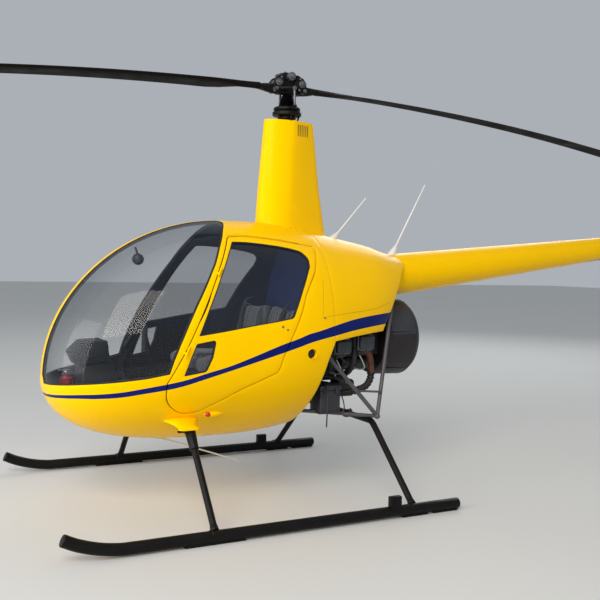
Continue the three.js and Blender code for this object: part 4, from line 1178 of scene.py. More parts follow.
class HELI_OT_tail(bpy.types.Operator):
    """Tail cone with its riveted bays, fins, stabiliser and tail skid"""
    bl_idname = "heli.tail"
    bl_label = "Tail"

    def execute(self, context):
        slope = atan(TAIL_RISE)
        upward = Vector((sin(slope), 0, cos(slope)))
        joints = list(np.linspace(-1180, -4080, 8))

        def around(x, rise, a):
            radius = float(tail_radius(x) + rise) / 1000
            return at(x, 0, tail_z(x)) + radius * (Vector((0, 1, 0)) * cos(a) + upward * sin(a))

        def ring(station):
            return [around(*station, a) for a in angles(64)]

        stations = [(-655, 0), (-800, 0), (-940, 0)]
        for x in joints:
            stations += [(x + 26, 0), (x + 2, 0), (x + 1, 0.9), (x - 22, 0.9), (x - 23, 0)]
        stations += [(-4250, 0), (-4266, -1), (-4269.5, -6)]
        cone = extruded("tail_cone_skin", ring, stations)
        done(cone, "enamel_tail", nodes=["tail_cone"], angle=18)
        rivet = ball("tail_cone_rivets", 0.0032, segments=8, rings=4)
        done(copies(rivet, [around(x - 11, 0.9, a) for x in joints for a in angles(32)]), "enamel_tail")
        # Columns: place along the span, nose of the section, chord, thickness
        upper = ((1800, -4003, 329, 26), (1850, -4040, 320, 26), (2290, -4428, 250, 19),
            (2318, -4452, 240, 15),
                 (2330, -4470, 205, 8))
        lower = ((1385, -4318, 170, 8), (1397, -4306, 196, 15), (1430, -4282, 206, 17),
            (1760, -4050, 290, 24),
                 (1800, -4020, 300, 24))
        level = ((-720, -4030, 190, 9), (-706, -4014, 234, 17), (-660, -4008, 244, 20), (-60, -3965, 280, 26))

        def lying(x, side, span):
            return at(x, span, tail_z(-4200) + side)

        for node, rows, stations, place in (
                ("fin_upper", upper, list(np.linspace(1862, 2290, 12)) + [2305, 2318, 2326, 2330], at),
                ("fin_lower", lower, [1385, 1390, 1397, 1412, 1430] + list(np.linspace(1470, 1742, 9)), at),
                ("stabiliser", level, [-720, -715, -706, -690, -660] + list(np.linspace(-600, -52, 9)),
                    lying)):
            def section(span):
                nose, chord, thick = between(rows, span)
                return [place(nose - 0.25 * chord + ahead, side, span) for ahead,
                    side in aerofoil(chord, thick)]

            done(extruded(f"{node}_skin", section, stations), "enamel_plain", nodes=[node], angle=50)
        skid = tube("tail_skid", smooth_path([
            (-4400, 0, 1402), (-4460, 0, 1320), (-4540, 0, 1240), (-4640, 0, 1190)]), 22)
        done(softened(skid, 3, 60), "gear")
        return {"FINISHED"}


# The tail rotor's hub, and how far its blades are turned, in radians
HUB_X, HUB_Y, TAIL_TURN = -4385, 190, 0.62


class HELI_OT_tail_rotor(bpy.types.Operator):
    """Tail gearbox, and the tail rotor with its hub and pitch links"""
    bl_idname = "heli.tail_rotor"
    bl_label = "Tail rotor"

    def execute(self, context):
        gear_z = tail_z(HUB_X)
        case = [rod("gear_case", (-4270, 0, tail_z(-4270)), (-4436, 0, tail_z(-4436)), 96, 84, 36, 4),
                rod("output_case", (HUB_X, -44, gear_z), (HUB_X, 94, gear_z), 92, 72, 36, 3),
                rod("output_cap", (HUB_X, -48, gear_z), (HUB_X, -30, gear_z), 70, 84, 32, 3),
                rod("case_flange", (-4278, 0, tail_z(-4278)), (-4290, 0, tail_z(-4290)), 110, 110, 36, 2)]
        case.append(bolts("flange_bolts", [
            (-4290, 49 * cos(a), tail_z(-4290) + 49 * sin(a)) for a in angles(8)],
            (-1, 0, TAIL_RISE), 11, 6))
        for k in range(4):
            case.append(rod("cooling_fin", (-4300 - 16 * k, 0, tail_z(-4300 - 16 * k)),
                            (-4305 - 16 * k, 0, tail_z(-4305 - 16 * k)), 104, 104, 36, 1))
        done(joined("tail_gearbox_case", case), "cast", nodes=["tail_gearbox"])

        def place(along, across, y):
            return (HUB_X + along * cos(TAIL_TURN) - across * sin(TAIL_TURN), y,
                    gear_z + along * sin(TAIL_TURN) + across * cos(TAIL_TURN))

        parts = [rod("tail_shaft", (HUB_X, 97, gear_z), (HUB_X, 229, gear_z), 30),
                 rod("tail_hub", (HUB_X, 170, gear_z), (HUB_X, 211, gear_z), 82, 76, 32, 4),
                 rod("pitch_spider", (HUB_X, 132, gear_z), (HUB_X, 142, gear_z), 70, 70, 32, 2)]
        for side in (1, -1):
            root, tip = place(side * 20, 0, HUB_Y), place(side * 118, 0, HUB_Y)
            parts.append(rod("blade_fork", root, tip, 42, 36, 24, 3))
            parts.append(rod("tail_link", place(side * 30, 34, 137), place(side * 84, 40, 184), 9))
            parts.append(rod("tail_horn", place(side * 84, 44, 186), place(side * 84, 0, 188), 14))
        blades = []
        # Columns: distance from the hub, chord, thickness
        rows = ((84, 44, 24), (150, 92, 14), (190, 102, 12), (515, 102, 11), (528, 94, 8), (535, 70, 5))
        for side in (1, -1):
            def ring(along):
                chord, thick = between(rows, along)
                section = aerofoil(chord, thick)
                return [at(*place(side * along, side * ahead, HUB_Y + up)) for ahead, up in section]

            stations = [84, 100, 125, 150, 190, 300, 400, 515, 522, 528, 535]
            blades.append(extruded("tail_blade", ring, stations))
        done(joined("tail_rotor_hub", parts), "steel_dull", "tail_rotor_unit", ["tail_rotor"])
        done(joined("tail_rotor_blades", blades), "blade", "tail_rotor_unit", angle=50)
        return {"FINISHED"}


# Middle of the shelf over each front strut
SHELF_X = 838


class HELI_OT_gear(bpy.types.Operator):
    """Skids with wear shoes, struts, saddles, rear cross tube and strut cuffs"""
    bl_idname = "heli.gear"
    bl_label = "Landing gear"

    def execute(self, context):
        skid_y, skid_z = 940, 38
        run = [(-752, skid_y, skid_z), (-748, skid_y, skid_z), (-500, skid_y, skid_z), (0, skid_y, skid_z),
               (600, skid_y, skid_z), (1250, skid_y, skid_z)]
        toe = smooth_path([
            (1250, skid_y, skid_z), (1340, skid_y, skid_z + 2), (1440, skid_y, skid_z + 18),
            (1540, skid_y, skid_z + 48), (1618, skid_y, skid_z + 84)], 5)
        skid = [tube("skid_tube", run + toe[1:], 64, 28)]
        softened(skid[0], 4, 60, 3)
        for x in ((-740, -560), (-520, -340), (660, 1000)):
            skid.append(box("wear_shoe", x, (skid_y - 22, skid_y + 22), (0, 14), 3))
            skid.append(bolts("shoe_bolts", [
                (end, skid_y + s * 16, 12) for end in (x[0] + 18, x[1] - 18) for s in (1, -1)],
                    (0, 0, 1), 10, 6))
        skid.append(box("wheel_bracket", (-334, -258), (skid_y - 18, skid_y + 18), (skid_z, 128), 5))
        skid.append(rod("wheel_pin", (-296, skid_y - 24, 104), (-296, skid_y + 24, 104), 22))
        feet = []
        for x, top in ((826, (826, 420, 630)), (-428, (-428, 460, 475))):
            foot = Vector((x, skid_y, skid_z + 10))
            lean = (Vector(top) - foot).normalized()
            feet.append(rod("strut_socket", foot + lean * 20, foot + lean * 52, 48, 41, 28, 2))
            feet.append(box("skid_saddle", (x - 30, x + 30), (skid_y - 31, skid_y + 31),
                (skid_z, skid_z + 34), 12, 4))
        pair(joined("skid_left_piece", skid + feet), "gear", nodes=["skid_left"])
        foot, top = Vector((826, skid_y, skid_z + 10)), Vector((826, 420, 630))
        lean = (top - foot).normalized()
        strut = joined("strut_front_left_tube", [
            tube("strut", [foot + lean * 20, foot + lean * 300, foot + lean * 620], 38, 28),
            rod("sleeve", foot + lean * 502, foot + lean * 508, 42, 53, 28, 1),
            rod("sleeve", foot + lean * 507, foot + lean * 622, 50, 62, 28, 1),
            rod("sleeve", foot + lean * 618, foot + lean * 632, 66, 66, 28, 3)])
        bracket = box("step_bracket", (858, 896), (508, 530), (508, 520), 3)
        pair(joined("strut_front_left_tube", [strut, bracket]), "gear", nodes=["strut_front_left"])
        # Yellow shelf of the belly over each strut, level along its lower edge.
        # Columns: y, half length, heights of the top and bottom
        shelf = ((400, 106, 582, 554), (440, 84, 576, 549), (480, 66, 565, 541), (515, 55, 553, 530),
                 (545, 64, 547, 526), (560, 52, 537, 526), (567, 40, 532, 526))

        def lip_ring(row):
            y, half, top, bottom = row
            arch = [(half * cos(a), bottom + 3 + (top - bottom - 3) * sin(a)) for a in np.linspace(0, pi, 21)]
            return [at(SHELF_X + x, y, z) for x, z in [(half - 2, bottom)] + arch + [(2 - half, bottom)]]

        lip = extruded("strut_lip_left", lip_ring, list(shelf))
        pair(softened(lip, 2, 40), "enamel_plain", angle=50)
        across = smooth_path([
            (-428, 925, 61), (-428, 820, 155), (-428, 640, 315), (-428, 500, 438), (-428, 452, 470),
            (-428, 400, 475), (-428, 0, 475)], 5)
        path = across + [(x, -y, z) for x, y, z in across[:-1][::-1]]
        rear = [tube("cross_tube", path, 40, 28)]
        for y in (-150, 150):
            rear.append(box("tube_clamp", (-456, -400), (y - 20, y + 20), (450, 500), 6))
            rear.append(bolts("clamp_bolts", [(-449, y, 499), (-407, y, 499)], (0, 0, 1), 12, 6))
        done(joined("cross_tube_rear_piece", rear), "gear", nodes=["cross_tube_rear"])
        return {"FINISHED"}


class HELI_OT_aerials(bpy.types.Operator):
    """Whip aerials on tapered feet"""
    bl_idname = "heli.aerials"
    bl_label = "Aerials"

    def execute(self, context):
        # Columns: node, foot, tip, foot width, foot length
        for node, foot, tip, width, reach in (
                ("aerial_roof_front", (-346, 0, 1620), (-623, 0, 1935), 78, 92),
                ("aerial_roof_rear", (-832, 0, 1520), (-1117, 0, 2055), 78, 112),
                ("aerial_belly", (870, 0, 388), (293, 0, 182), 34, 60)):
            base = Vector(foot)
            lean = (Vector(tip) - base).normalized()
            parts = [rod("foot", base, base + lean * reach, width, 15, 32, 3),
                     rod("collar", base + lean * (reach - 6), base + lean * (reach + 16), 17, 12, 20, 1),
                     rod("whip", base + lean * reach, Vector(tip), 13, 8, 16, 0.8)]
            done(joined(f"{node}_whip", parts), "whip", nodes=[node])
        return {"FINISHED"}


class HELI_OT_lamps(bpy.types.Operator):
    """Landing lamp in the nose, and a side lamp in a teardrop on each flank"""
    bl_idname = "heli.lamps"
    bl_label = "Lamps"

    def execute(self, context):
        drop = ball("side_lamp_left_housing", 1, segments=40, rings=24)
        side_y = skin_y(652, 590)
        for vertex in drop.data.vertices:
            x, y, z = vertex.co
            narrow = 1 - 0.55 * max(0.0, -x) ** 1.6
            vertex.co = at(652 + 62 * x, side_y - 1 + 24 * y * narrow, 590 + 20 * z * narrow)
        pair(drop, "enamel_plain", nodes=["side_lamp_left"])
        for name, finish, side in (("side_lamp_left_lens", "red", 1), ("side_lamp_right_lens", "green", -1)):
            lens = ball(name, 1)
            for vertex in lens.data.vertices:
                x, y, z = vertex.co
                vertex.co = at(690 + 21 * x, side * (side_y + 6 + 15 * y), 590 + 14 * z)
            if side == -1:
                lens.data.flip_normals()
            done(lens, finish)
        profile = [(0, -34), (18, -26), (27, -8), (29, 0), (29.5, 0), (29.5, -38), (0, -38)]
        done(spun("landing_lamp_reflector", profile, "X", (1500, 0, 660)), "steel")
        return {"FINISHED"}


class HELI_OT_engine_frame(bpy.types.Operator):
    """Welded tube frame behind the cabin, with its former and equipment box"""
    bl_idname = "heli.engine_frame"
    bl_label = "Engine frame"

    def execute(self, context):
        joint = (-480, 438, 500)
        # Columns: from, to, width
        runs = [((-706, 252, 1330), joint, 26), ((-106, 424, 905), joint, 27), ((56, 262, 545), joint, 24),
                ((-312, 430, 672), (-516, 426, 654), 14), ((-250, 434, 732), (-250, 90, 745), 22)]
        parts = []
        for side in (1, -1):
            for start, end, width in runs:
                a, b = [(x, side * y, z) for x, y, z in (start, end)]
                parts.append(tube("frame_tube", [a, Vector(a).lerp(Vector(b), 0.5), b], width, 20))
            parts.append(ball("weld", 0.019, at(joint[0], side * joint[1], joint[2]), 20, 12))

        def former_ring(x):
            places = skin_places(np.full(40, x), np.linspace(0.34, pi - 0.34, 40), 9.0)
            return [at(*p) for p in places if p[2] > 1300]

        parts.append(extruded("former", former_ring, (-664, -676)))
        done(joined("engine_frame_tubes", parts), "tube", nodes=["engine_frame"])
        case = [box("equipment_box", (-238, -90), (238, 378), (528, 676), 9, 4),
                box("box_lid", (-243, -85), (233, 384), (674, 706), 7, 4),
                box("box_flange", (-245, -83), (230, 386), (526, 536), 3)]
        for x in (-206, -122):
            case.append(box("lid_clip", (x - 10, x + 10), (380, 390), (654, 692), 3))
            case.append(rod("clip_pin", (x - 13, 388, 678), (x + 13, 388, 678), 7, sides=12, bevel=0.5))
        case.append(bolts("box_bolts", [(x, 379, z) for x in (-224, -104) for z in (548, 640)],
            (0, 1, 0), 11, 6))
        case.append(tube("box_drain", smooth_path([(-129, 372, 720), (-129, 400, 700), (-129, 402, 560),
            (-129, 398, 445)]), 9, 12))
        case.append(tube("box_wire", smooth_path([(-243, 300, 660), (-266, 340, 630), (-266, 380, 560),
            (-243, 384, 520)]), 8, 12))
        done(joined("equipment_box_piece", case), "box_paint")
        return {"FINISHED"}


class HELI_OT_engine(bpy.types.Operator):
    """Flat four-cylinder engine: crankcase, finned cylinders, rocker covers, leads and pipes"""
    bl_idname = "heli.engine"
    bl_label = "Engine"

    def execute(self, context):
        case = [box("case", (-640, -152), (-118, 118), (852, 1050), 16, 4),
                box("sump", (-360, -152), (-108, 108), (694, 860), 26, 4),
                rod("nose_case", (-655, 0, 955), (-600, 0, 955), 190, 220, 40, 5)]
        for x in (-240, -340, -440, -540):
            case.append(box("case_rib", (x - 5, x + 5), (-122, 122), (848, 1054), 4))
        case.append(box("case_seam", (-645, -148), (-6, 6), (846, 1058), 3))
        for side in (1, -1):
            case.append(bolts("case_bolts", [
                (x, side * 118, z) for x in range(-610, -160, 52) for z in (874, 1030)], (0, side, 0), 14, 8))
            case.append(bolts("sump_bolts", [(x, side * 92, 866) for x in range(-340, -150, 44)],
                (0, 0, 1), 12, 6))
        case.append(rod("oil_filter", (-250, -60, 694), (-250, -60, 610), 92, 92, 32, 6))
        case.append(box("engine_baffle", (-652, -340), (-5, 5), (746, 856), 2))
        case.append(box("air_box", (-474, -338), (40, 168), (588, 704), 26, 4))
        case.append(rod("air_hose", (-404, 96, 700), (-404, 60, 752), 62, 62, 32, 2))
        for x in (-600, -548, -496):
            case.append(box("baffle_rib", (x - 4, x + 4), (-12, 12), (742, 860), 2))
        case.append(rod("starter", (-640, 84, 806), (-500, 84, 806), 74, 74, 32, 5))
        case.append(rod("magneto", (-480, 70, 812), (-400, 70, 812), 84, 70, 32, 5))
        done(joined("engine_crankcase_castings", case), "cast_dark", nodes=["engine_crankcase"])
        iron, covers, lips = [], [], []
        # Columns: x, z and half height of the rocker cover
        for x, z0, tall in ((-262, 948, 44), (-434, 972, 47)):
            profile = [(30, 120.4)]
            for k in range(13):
                y = 136 + 15.5 * k
                profile += [(58, y - 4.5), (77, y - 1.2), (77.5, y), (77, y + 1.2), (58, y + 4.5)]
            iron += [spun("barrel", profile + [(58, 350), (30, 350)], "Y", (x, 0, z0), 36),
                     box("head", (x - 60, x + 60), (296, 346), (z0 - 52, z0 + 52), 12, 3)]
            covers.append(box("rocker_cover", (x - 56, x + 56), (344, 379), (z0 - tall, z0 + tall), 17, 4))
            lips.append(box("cover_flange", (x - 61, x + 61), (343, 352),
                (z0 - tall - 6, z0 + tall + 5), 4, 2))
            iron += [bolts("cover_bolts", [(x + dx, 352, z0 + side_z * (tall + 1))
                                           for dx in (-52, 0, 52) for side_z in (-1, 1)], (0, 1, 0), 10, 6),
                     rod("plug", (x + 30, 318, z0 - 54), (x + 36, 330, z0 - 88), 22, 16, 20, 1)]
            iron += [rod("push_rod_tube", (x + dx, 118, 876), (x + dx, 344, z0 - 40), 22, 22, 20, 1)
                     for dx in (-30, 30)]
            iron.append(tube("intake_pipe", smooth_path([
                (x + 46, 290, z0 - 50), (x + 50, 284, 860), (x + 44, 230, 780), (x + 30, 120, 730)]), 40, 20))
        pair(joined("cover_flanges_left", lips), "cast")
        pair(joined("cylinders_left", iron), "cast_dark", nodes=["cylinder_bank_left"])
        pair(joined("rocker_covers_left", covers), "cover_paint")
        leads = []
        # Columns: x and z of the plug
        for x, z0 in ((-232, 860), (-404, 884)):
            for side in (1, -1):
                leads.append(tube("spark_lead", smooth_path([
                    (x + 4, side * 332, z0), (x - 14, side * 344, z0 - 40), (x - 34, side * 332, z0 - 84),
                    (x - 16, side * 276, z0 - 96), (x + 16, side * 200, z0 - 70),
                    (x + 30, side * 124, z0 - 30)]), 8, 12))
        done(joined("ignition_leads", leads), "lead")
        return {"FINISHED"}


# Middle of the muffler
MUFFLER = (-270, 0, 624)


class HELI_OT_exhaust(bpy.types.Operator):
    """Exhaust pipes with their bellows, and the muffler"""
    bl_idname = "heli.exhaust"
    bl_label = "Exhaust"

    def execute(self, context):
        hot, dark = [], []
        for side in (1, -1):
            route = smooth_path([(x, side * y, z) for x, y, z in (
                (-466, 300, 915), (-490, 300, 888), (-504, 300, 850), (-510, 300, 790), (-507, 298, 725),
                (-476, 290, 674), (-420, 268, 648), (-350, 238, 630), (-300, 210, 624))], 11)
            hot.append(tube("pipe", route[:40], 42, 28))
            widths = [45 + (4 if i % 4 < 2 else -3) for i in range(len(route[38:70]))]
            dark.append(tube("bellows", route[38:70], widths, 28))
            dark.append(tube("pipe", route[68:], 42, 28))
            hot.append(rod("port_flange", (-464, side * 300, 922), (-472, side * 300, 908), 70, 70, 32, 2))
            dark.append(rod("clamp", route[37], route[39], 52, 52, 32, 1))
            dark.append(rod("clamp", route[67], route[69], 52, 52, 32, 1))
        dark.append(spun("muffler", [
            (20, -228), (52, -226), (60, -220), (64, -210), (64, -4), (66, -3), (66, 3), (64, 4), (64, 210),
            (60, 220), (52, 226), (20, 228)], "Y", MUFFLER, 48))
        dark.append(tube("tail_pipe", smooth_path([
            (-270, -150, 600), (-290, -160, 560), (-330, -165, 520), (-360, -166, 500)]), 50, 28))
        for y in (-120, 120):
            dark.append(spun("muffler_strap", [
                (64.5, y - 10), (67, y - 10), (67, y + 10), (64.5, y + 10)], "Y", MUFFLER, 48))
        done(joined("exhaust_bellows_and_muffler", dark), "exhaust_dark")
        done(joined("exhaust_pipes", hot), "exhaust", nodes=["exhaust_system"])
        return {"FINISHED"}


# Height of the fan's axis
FAN_Z = 972


class HELI_OT_fan(bpy.types.Operator):
    """Fan housing behind the engine, with its scroll panel and ribs"""
    bl_idname = "heli.fan"
    bl_label = "Fan housing"

    def execute(self, context):
        parts = [spun("fan_scroll", [
            (152, -660), (242, -660), (246, -664), (258, -688), (260, -694), (266, -892),
            (264, -899), (241, -931), (236, -935), (200, -935), (198, -929), (168, -929), (166, -935),
            (150, -935), (146, -700)],
            "X", (0, 0, FAN_Z), 72)]
        for k in range(16):
            vane = box("fan_vane", (-890, -720), (-2, 2), (FAN_Z + 38, FAN_Z + 144), 1, 2)
            parts.append(turned(vane, 2 * pi * k / 16, "X", (0, 0, FAN_Z)))
        parts.append(rod("fan_hub", (-910, 0, FAN_Z), (-690, 0, FAN_Z), 96, 110, 36, 5))
        parts.append(rod("fan_backplate", (-712, 0, FAN_Z), (-700, 0, FAN_Z), 292, 292, 60, 2))
        for a in (0.2, 1.05, 2.1, 3.3, 4.4, 5.4):
            rib = box("rib", (-892, -700), (-4, 4), (FAN_Z + 259, FAN_Z + 267), 2, 2)
            parts.append(turned(rib, a - pi / 2, "X", (0, 0, FAN_Z)))
        parts.append(bolts("fan_bolts", [
            (-935, 216 * cos(a), FAN_Z + 216 * sin(a)) for a in angles(12, 0.2)],
                (-1, 0, 0), 12, 6))
        done(joined("fan_housing_sheet", parts), "sheet", nodes=["fan_housing"])

        # Grey sprayed panel over the upper port quarter of the scroll
        def plate_ring(x):
            arc = list(np.linspace(radians(8), radians(74), 22))
            radius = float(np.interp(-x, [694, 892], [260, 266]))
            places = [(radius + 2.5, a) for a in arc] + [(radius - 1, a) for a in arc[::-1]]
            return [at(x, far * cos(a), FAN_Z + far * sin(a)) for far, a in places]

        plate = extruded("fan_scroll_plate", plate_ring, [-700, -740, -780, -820, -858, -889])
        done(softened(plate, 2, 50), "box_paint")
        outline = [(-655, 860), (-655, 1040), (-530, 1050), (-500, 1040), (-520, 900)]
        shroud = [prism("baffle", outline, y, 2) for y in ((150, 156), (-156, -150))]
        done(joined("cooling_baffles", shroud), "sheet")
        return {"FINISHED"}


def ribbon(name, points, across, width=46, thick=1.6):
    """A flat belt along a path of points, its width lying along a direction."""
    path = [Vector(p) for p in points]
    last = len(path) - 1

    def ring(i):
        tangent = (path[min(i + 1, last)] - path[max(i - 1, 0)]).normalized()
        side = (Vector(across) - tangent * Vector(across).dot(tangent)).normalized()
        up = tangent.cross(side)
        return [at(*(path[i] + side * (a * width / 2) + up * (b * thick / 2)))
                for a, b in ((-1, -0.6), (0, -1), (1, -0.6), (1, 0.6), (0, 1), (-1, 0.6))]

    return extruded(name, ring, list(range(last + 1)))


# Frames of the filling of a pad, size of its cells and how far a point may move
FILL_FRAMES, VOXEL, GIVE = 20, 6, 24
# Front of the seat base's top, x and z, and how much it rises towards the nose
BASE_X, BASE_Z, BASE_RISE = 118, 760.7, 30 / 522


def stuffed(obj):
    """Fills a pad: a cloth simulation under pressure, every point held near its start."""
    apply(obj, "REMESH", mode="VOXEL", voxel_size=VOXEL / 1000)
    start = [v.co.copy() for v in obj.data.vertices]
    fill = obj.modifiers.new("fill", "CLOTH")
    fill.settings.use_pressure = True
    fill.settings.uniform_pressure_force = 4
    fill.settings.effector_weights.gravity = 0
    for number in range(1, FILL_FRAMES + 1):
        bpy.context.scene.frame_set(number)
    select_only(obj)
    bpy.ops.object.modifier_apply(modifier=fill.name)
    bpy.context.scene.frame_set(1)
    for vertex, place in zip(obj.data.vertices, start):
        moved = vertex.co - place
        if moved.length > GIVE / 1000:
            vertex.co = place + moved.normalized() * GIVE / 1000
    return apply(obj, "SUBSURF", levels=1)


def sewn(obj, facing, lines, depth=6, spread=5):
    """Presses sewn channels into the faces of a pad that look one way, at values of y."""
    facing = Vector(facing).normalized()
    normals = [v.normal.copy() for v in obj.data.vertices]
    for vertex, normal in zip(obj.data.vertices, normals):
        share = max(0.0, normal.dot(facing) - 0.3) / 0.7
        if share:
            near = min(abs(vertex.co.y * 1000 - y) for y in lines)
            vertex.co -= facing * (share * depth / 1000 * exp(-(near / spread) ** 2))
    obj.data.update()


class HELI_OT_seats(bpy.types.Operator):
    """Stuffed seat cushions and backs, and the belts"""
    bl_idname = "heli.seats"
    bl_label = "Seats"

    def execute(self, context):
        # Columns: name, outline of the pad, values of y, direction of its face, channels
        pads = (
            ("seat_cushion", [(194, 774), (194, 838), (300, 852), (594, 868), (642, 848), (634, 796)],
                (50, 442),
             (0, 0, 1), (150, 246, 342)),
            ("seat_back", [(50, 1192), (104, 1202), (178, 868), (184, 768), (130, 766)], (50, 422),
             (1, 0, 0.2), (142, 236, 330)))
        for name, shape, y, face, lines in pads:
            pad = stuffed(prism(f"{name}_left_pad", rounded([p + (14,) for p in shape], 4), y, 12, 3))
            for vertex in pad.data.vertices:
                base_top = BASE_Z + (vertex.co.x * 1000 - MAST_MM - BASE_X) * BASE_RISE
                vertex.co.z = max(vertex.co.z, base_top / 1000)
                if name == "seat_back":
                    vertex.co.x = min(vertex.co.x, (189.0 + MAST_MM) / 1000 if vertex.co.z < 0.87 else 9)
                else:
                    vertex.co.x = max(vertex.co.x, (190.5 + MAST_MM) / 1000)
            sewn(pad, face, lines)
            for piece in pair(pad, "cloth", nodes=[f"{name}_left"], angle=60):
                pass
        belts = []
        for side in (1, -1):
            shoulder = smooth_path([
                (30, side * 330, 1236), (90, side * 322, 1234), (136, side * 316, 1204),
                (172, side * 300, 1100), (204, side * 262, 985), (228, side * 200, 915),
                (252, side * 118, 893)], 5)
            belts.append(ribbon("shoulder_belt", shoulder, (0, 1, 0)))
            lap = smooth_path([
                (216, side * 446, 800), (250, side * 440, 870), (300, side * 400, 894),
                (330, side * 300, 899), (330, side * 160, 897), (292, side * 90, 890), (252, side * 60, 860),
                (230, side * 46, 800)], 5)
            belts.append(ribbon("lap_belt", lap, (1, 0, 0)))
        done(joined("seat_belts", belts), "web")
        buckles = [box("buckle", (232, 282), (y - 20, y + 20), (886, 902), 4) for y in (112, -112)]
        done(joined("belt_buckles", buckles), "steel")
        return {"FINISHED"}


class HELI_OT_controls(bpy.types.Operator):
    """Console with dials, pedals, the stick with its two grips, compass and bottle"""
    bl_idname = "heli.controls"
    bl_label = "Controls"

    def execute(self, context):
        foot = [(1090, 480.4), (1120, 800), (1180, 900), (1330, 880), (1335, 700), (1290, 480.4)]
        head = [(1175, 870), (1192, 998), (1325, 992), (1396, 925), (1360, 850)]
        console = [prism("pedestal", foot, (-95, 95), 8, 3),
                   prism("instrument_head", head, (-108, 108), 9, 3)]
        for side in (1, -1):
            console.append(rod("pedal_bar", (1190, side * 80, 520), (1190, side * 236, 520), 24))
            for y in (142, 226):
                console.append(rod("pedal_arm", (1190, side * y, 520), (1215, side * y, 650), 16))
                console.append(box("pedal_pad", (1200, 1224), (side * y - 32, side * y + 32), (630, 670), 5))
                for k in range(4):
                    z = 636 + 8 * k
                    console.append(box("pedal_rib", (1197, 1202), (side * y - 26, side * y + 26),
                        (z, z + 3), 1, 2))
        done(joined("console_and_pedals", console), "abs", nodes=["instrument_console"])
        # The panel's face leans from (1175, 870) to (1192, 998)
        lean = Vector((17, 0, 128)).normalized()
        back = Vector((-128, 0, 17)).normalized()
        bezels, marks = [], []
        for k in (38, 92):
            for y in (-68, 0, 68):
                middle = Vector((1175, y, 870)) + lean * k
                bezels.append(rod("dial_bezel", middle - back * 2, middle + back * 4, 50, 46, 32, 1))
                front, pivot = middle + back * 4.2, middle + back * 4.6
                for a in np.linspace(0.8, 2 * pi - 0.8, 9):
                    out = lean * -cos(a) + Vector((0, sin(a), 0))
                    marks.append(rod("dial_mark", front + out * 15, front + out * 19, 1.6, sides=6, bevel=0))
                needle = (lean * 0.7 + Vector((0, 0.7, 0))) * 14
                marks.append(rod("dial_needle", pivot, pivot + needle, 2, 1, 6, 0))
        done(joined("dial_bezels", bezels), "abs")
        done(joined("dial_marks", marks), "dial")
        stick = [rod("stick_foot", (840, 0, 480.5), (840, 0, 560), 78, 60, 32, 4),
                 rod("stick_foot", (840, 0, 560), (840, 0, 700), 60, 44, 32, 4),
                 tube("stick_stem", smooth_path([(840, 0, 680), (862, 0, 760), (930, 0, 990),
                     (955, 0, 1075)]), 30),
                 tube("stick_bar", smooth_path([
                     (1000, -200, 925), (984, -150, 978), (966, -90, 1044), (955, -40, 1084), (955, 0, 1090),
                     (955, 40, 1084), (966, 90, 1044), (984, 150, 978), (1000, 200, 925)], 6), 25)]
        for side in (1, -1):
            widths = [33, 36, 34, 36, 34, 36, 34, 36, 33]
            grip = [(956 + 44 * k / 8, side * (62 + 138 * k / 8), 1072 - 147 * k / 8) for k in range(9)]
            stick.append(tube("stick_grip", grip, widths, 24))
        done(joined("control_stick_piece", stick), "abs", nodes=["control_stick"])
        case = [ball("compass_ball", 0.036, at(986, 0, 1480), rings=20),
                rod("compass_stem", (986, 0, 1500), (1004, 0, 1552), 14)]
        done(joined("compass_piece", case), "box_paint", nodes=["compass"])
        bottle = [rod("bottle", (1350, -280, 640), (1350, -280, 742), 84, 84, 40, 10),
                  rod("bottle_neck", (1350, -280, 738), (1350, -280, 756), 50, 30, 32, 3)]
        done(joined("fire_bottle", bottle), "red_enamel")
        valve = [rod("valve", (1350, -280, 754), (1350, -280, 778), 26, 26, 24, 2),
                 box("valve_lever", (1332, 1400), (-288, -272), (778, 786), 2),
                 box("bottle_clip", (1306, 1394), (-324, -236), (676, 688), 5)]
        done(joined("fire_bottle_valve", valve), "chrome")
        return {"FINISHED"}


# Hinge points of the port door on its front edge; columns: x, z
HINGES = ((856, 972), (630, 1421))
# How far the hinge line stands off the skin
HINGE_PROUD = 22


def hinge_line():
    """The two hinge points, lower first, and the direction of the line through them."""
    ends = [Vector((x + 3, skin_y(x + 3, z) + HINGE_PROUD, z)) for x, z in HINGES]
    return ends, (ends[1] - ends[0]).normalized()


def scored(name, points, width=2.2, lift=0.5):
    """A narrow strip along a side-view line on the skin, for a lap or a seam."""
    line = [Vector(p) for p in points]
    sides = [[], []]
    for i, p in enumerate(line):
        run = (line[min(i + 1, len(line) - 1)] - line[max(i - 1, 0)]).normalized()
        across = Vector((-run.y, run.x)) * width / 2
        sides[0].append(p + across)
        sides[1].append(p - across)
    return panel(name, [on_skin(sides[0] + sides[1][::-1])], 1.2, inset=-lift, cell=30, edge=0)


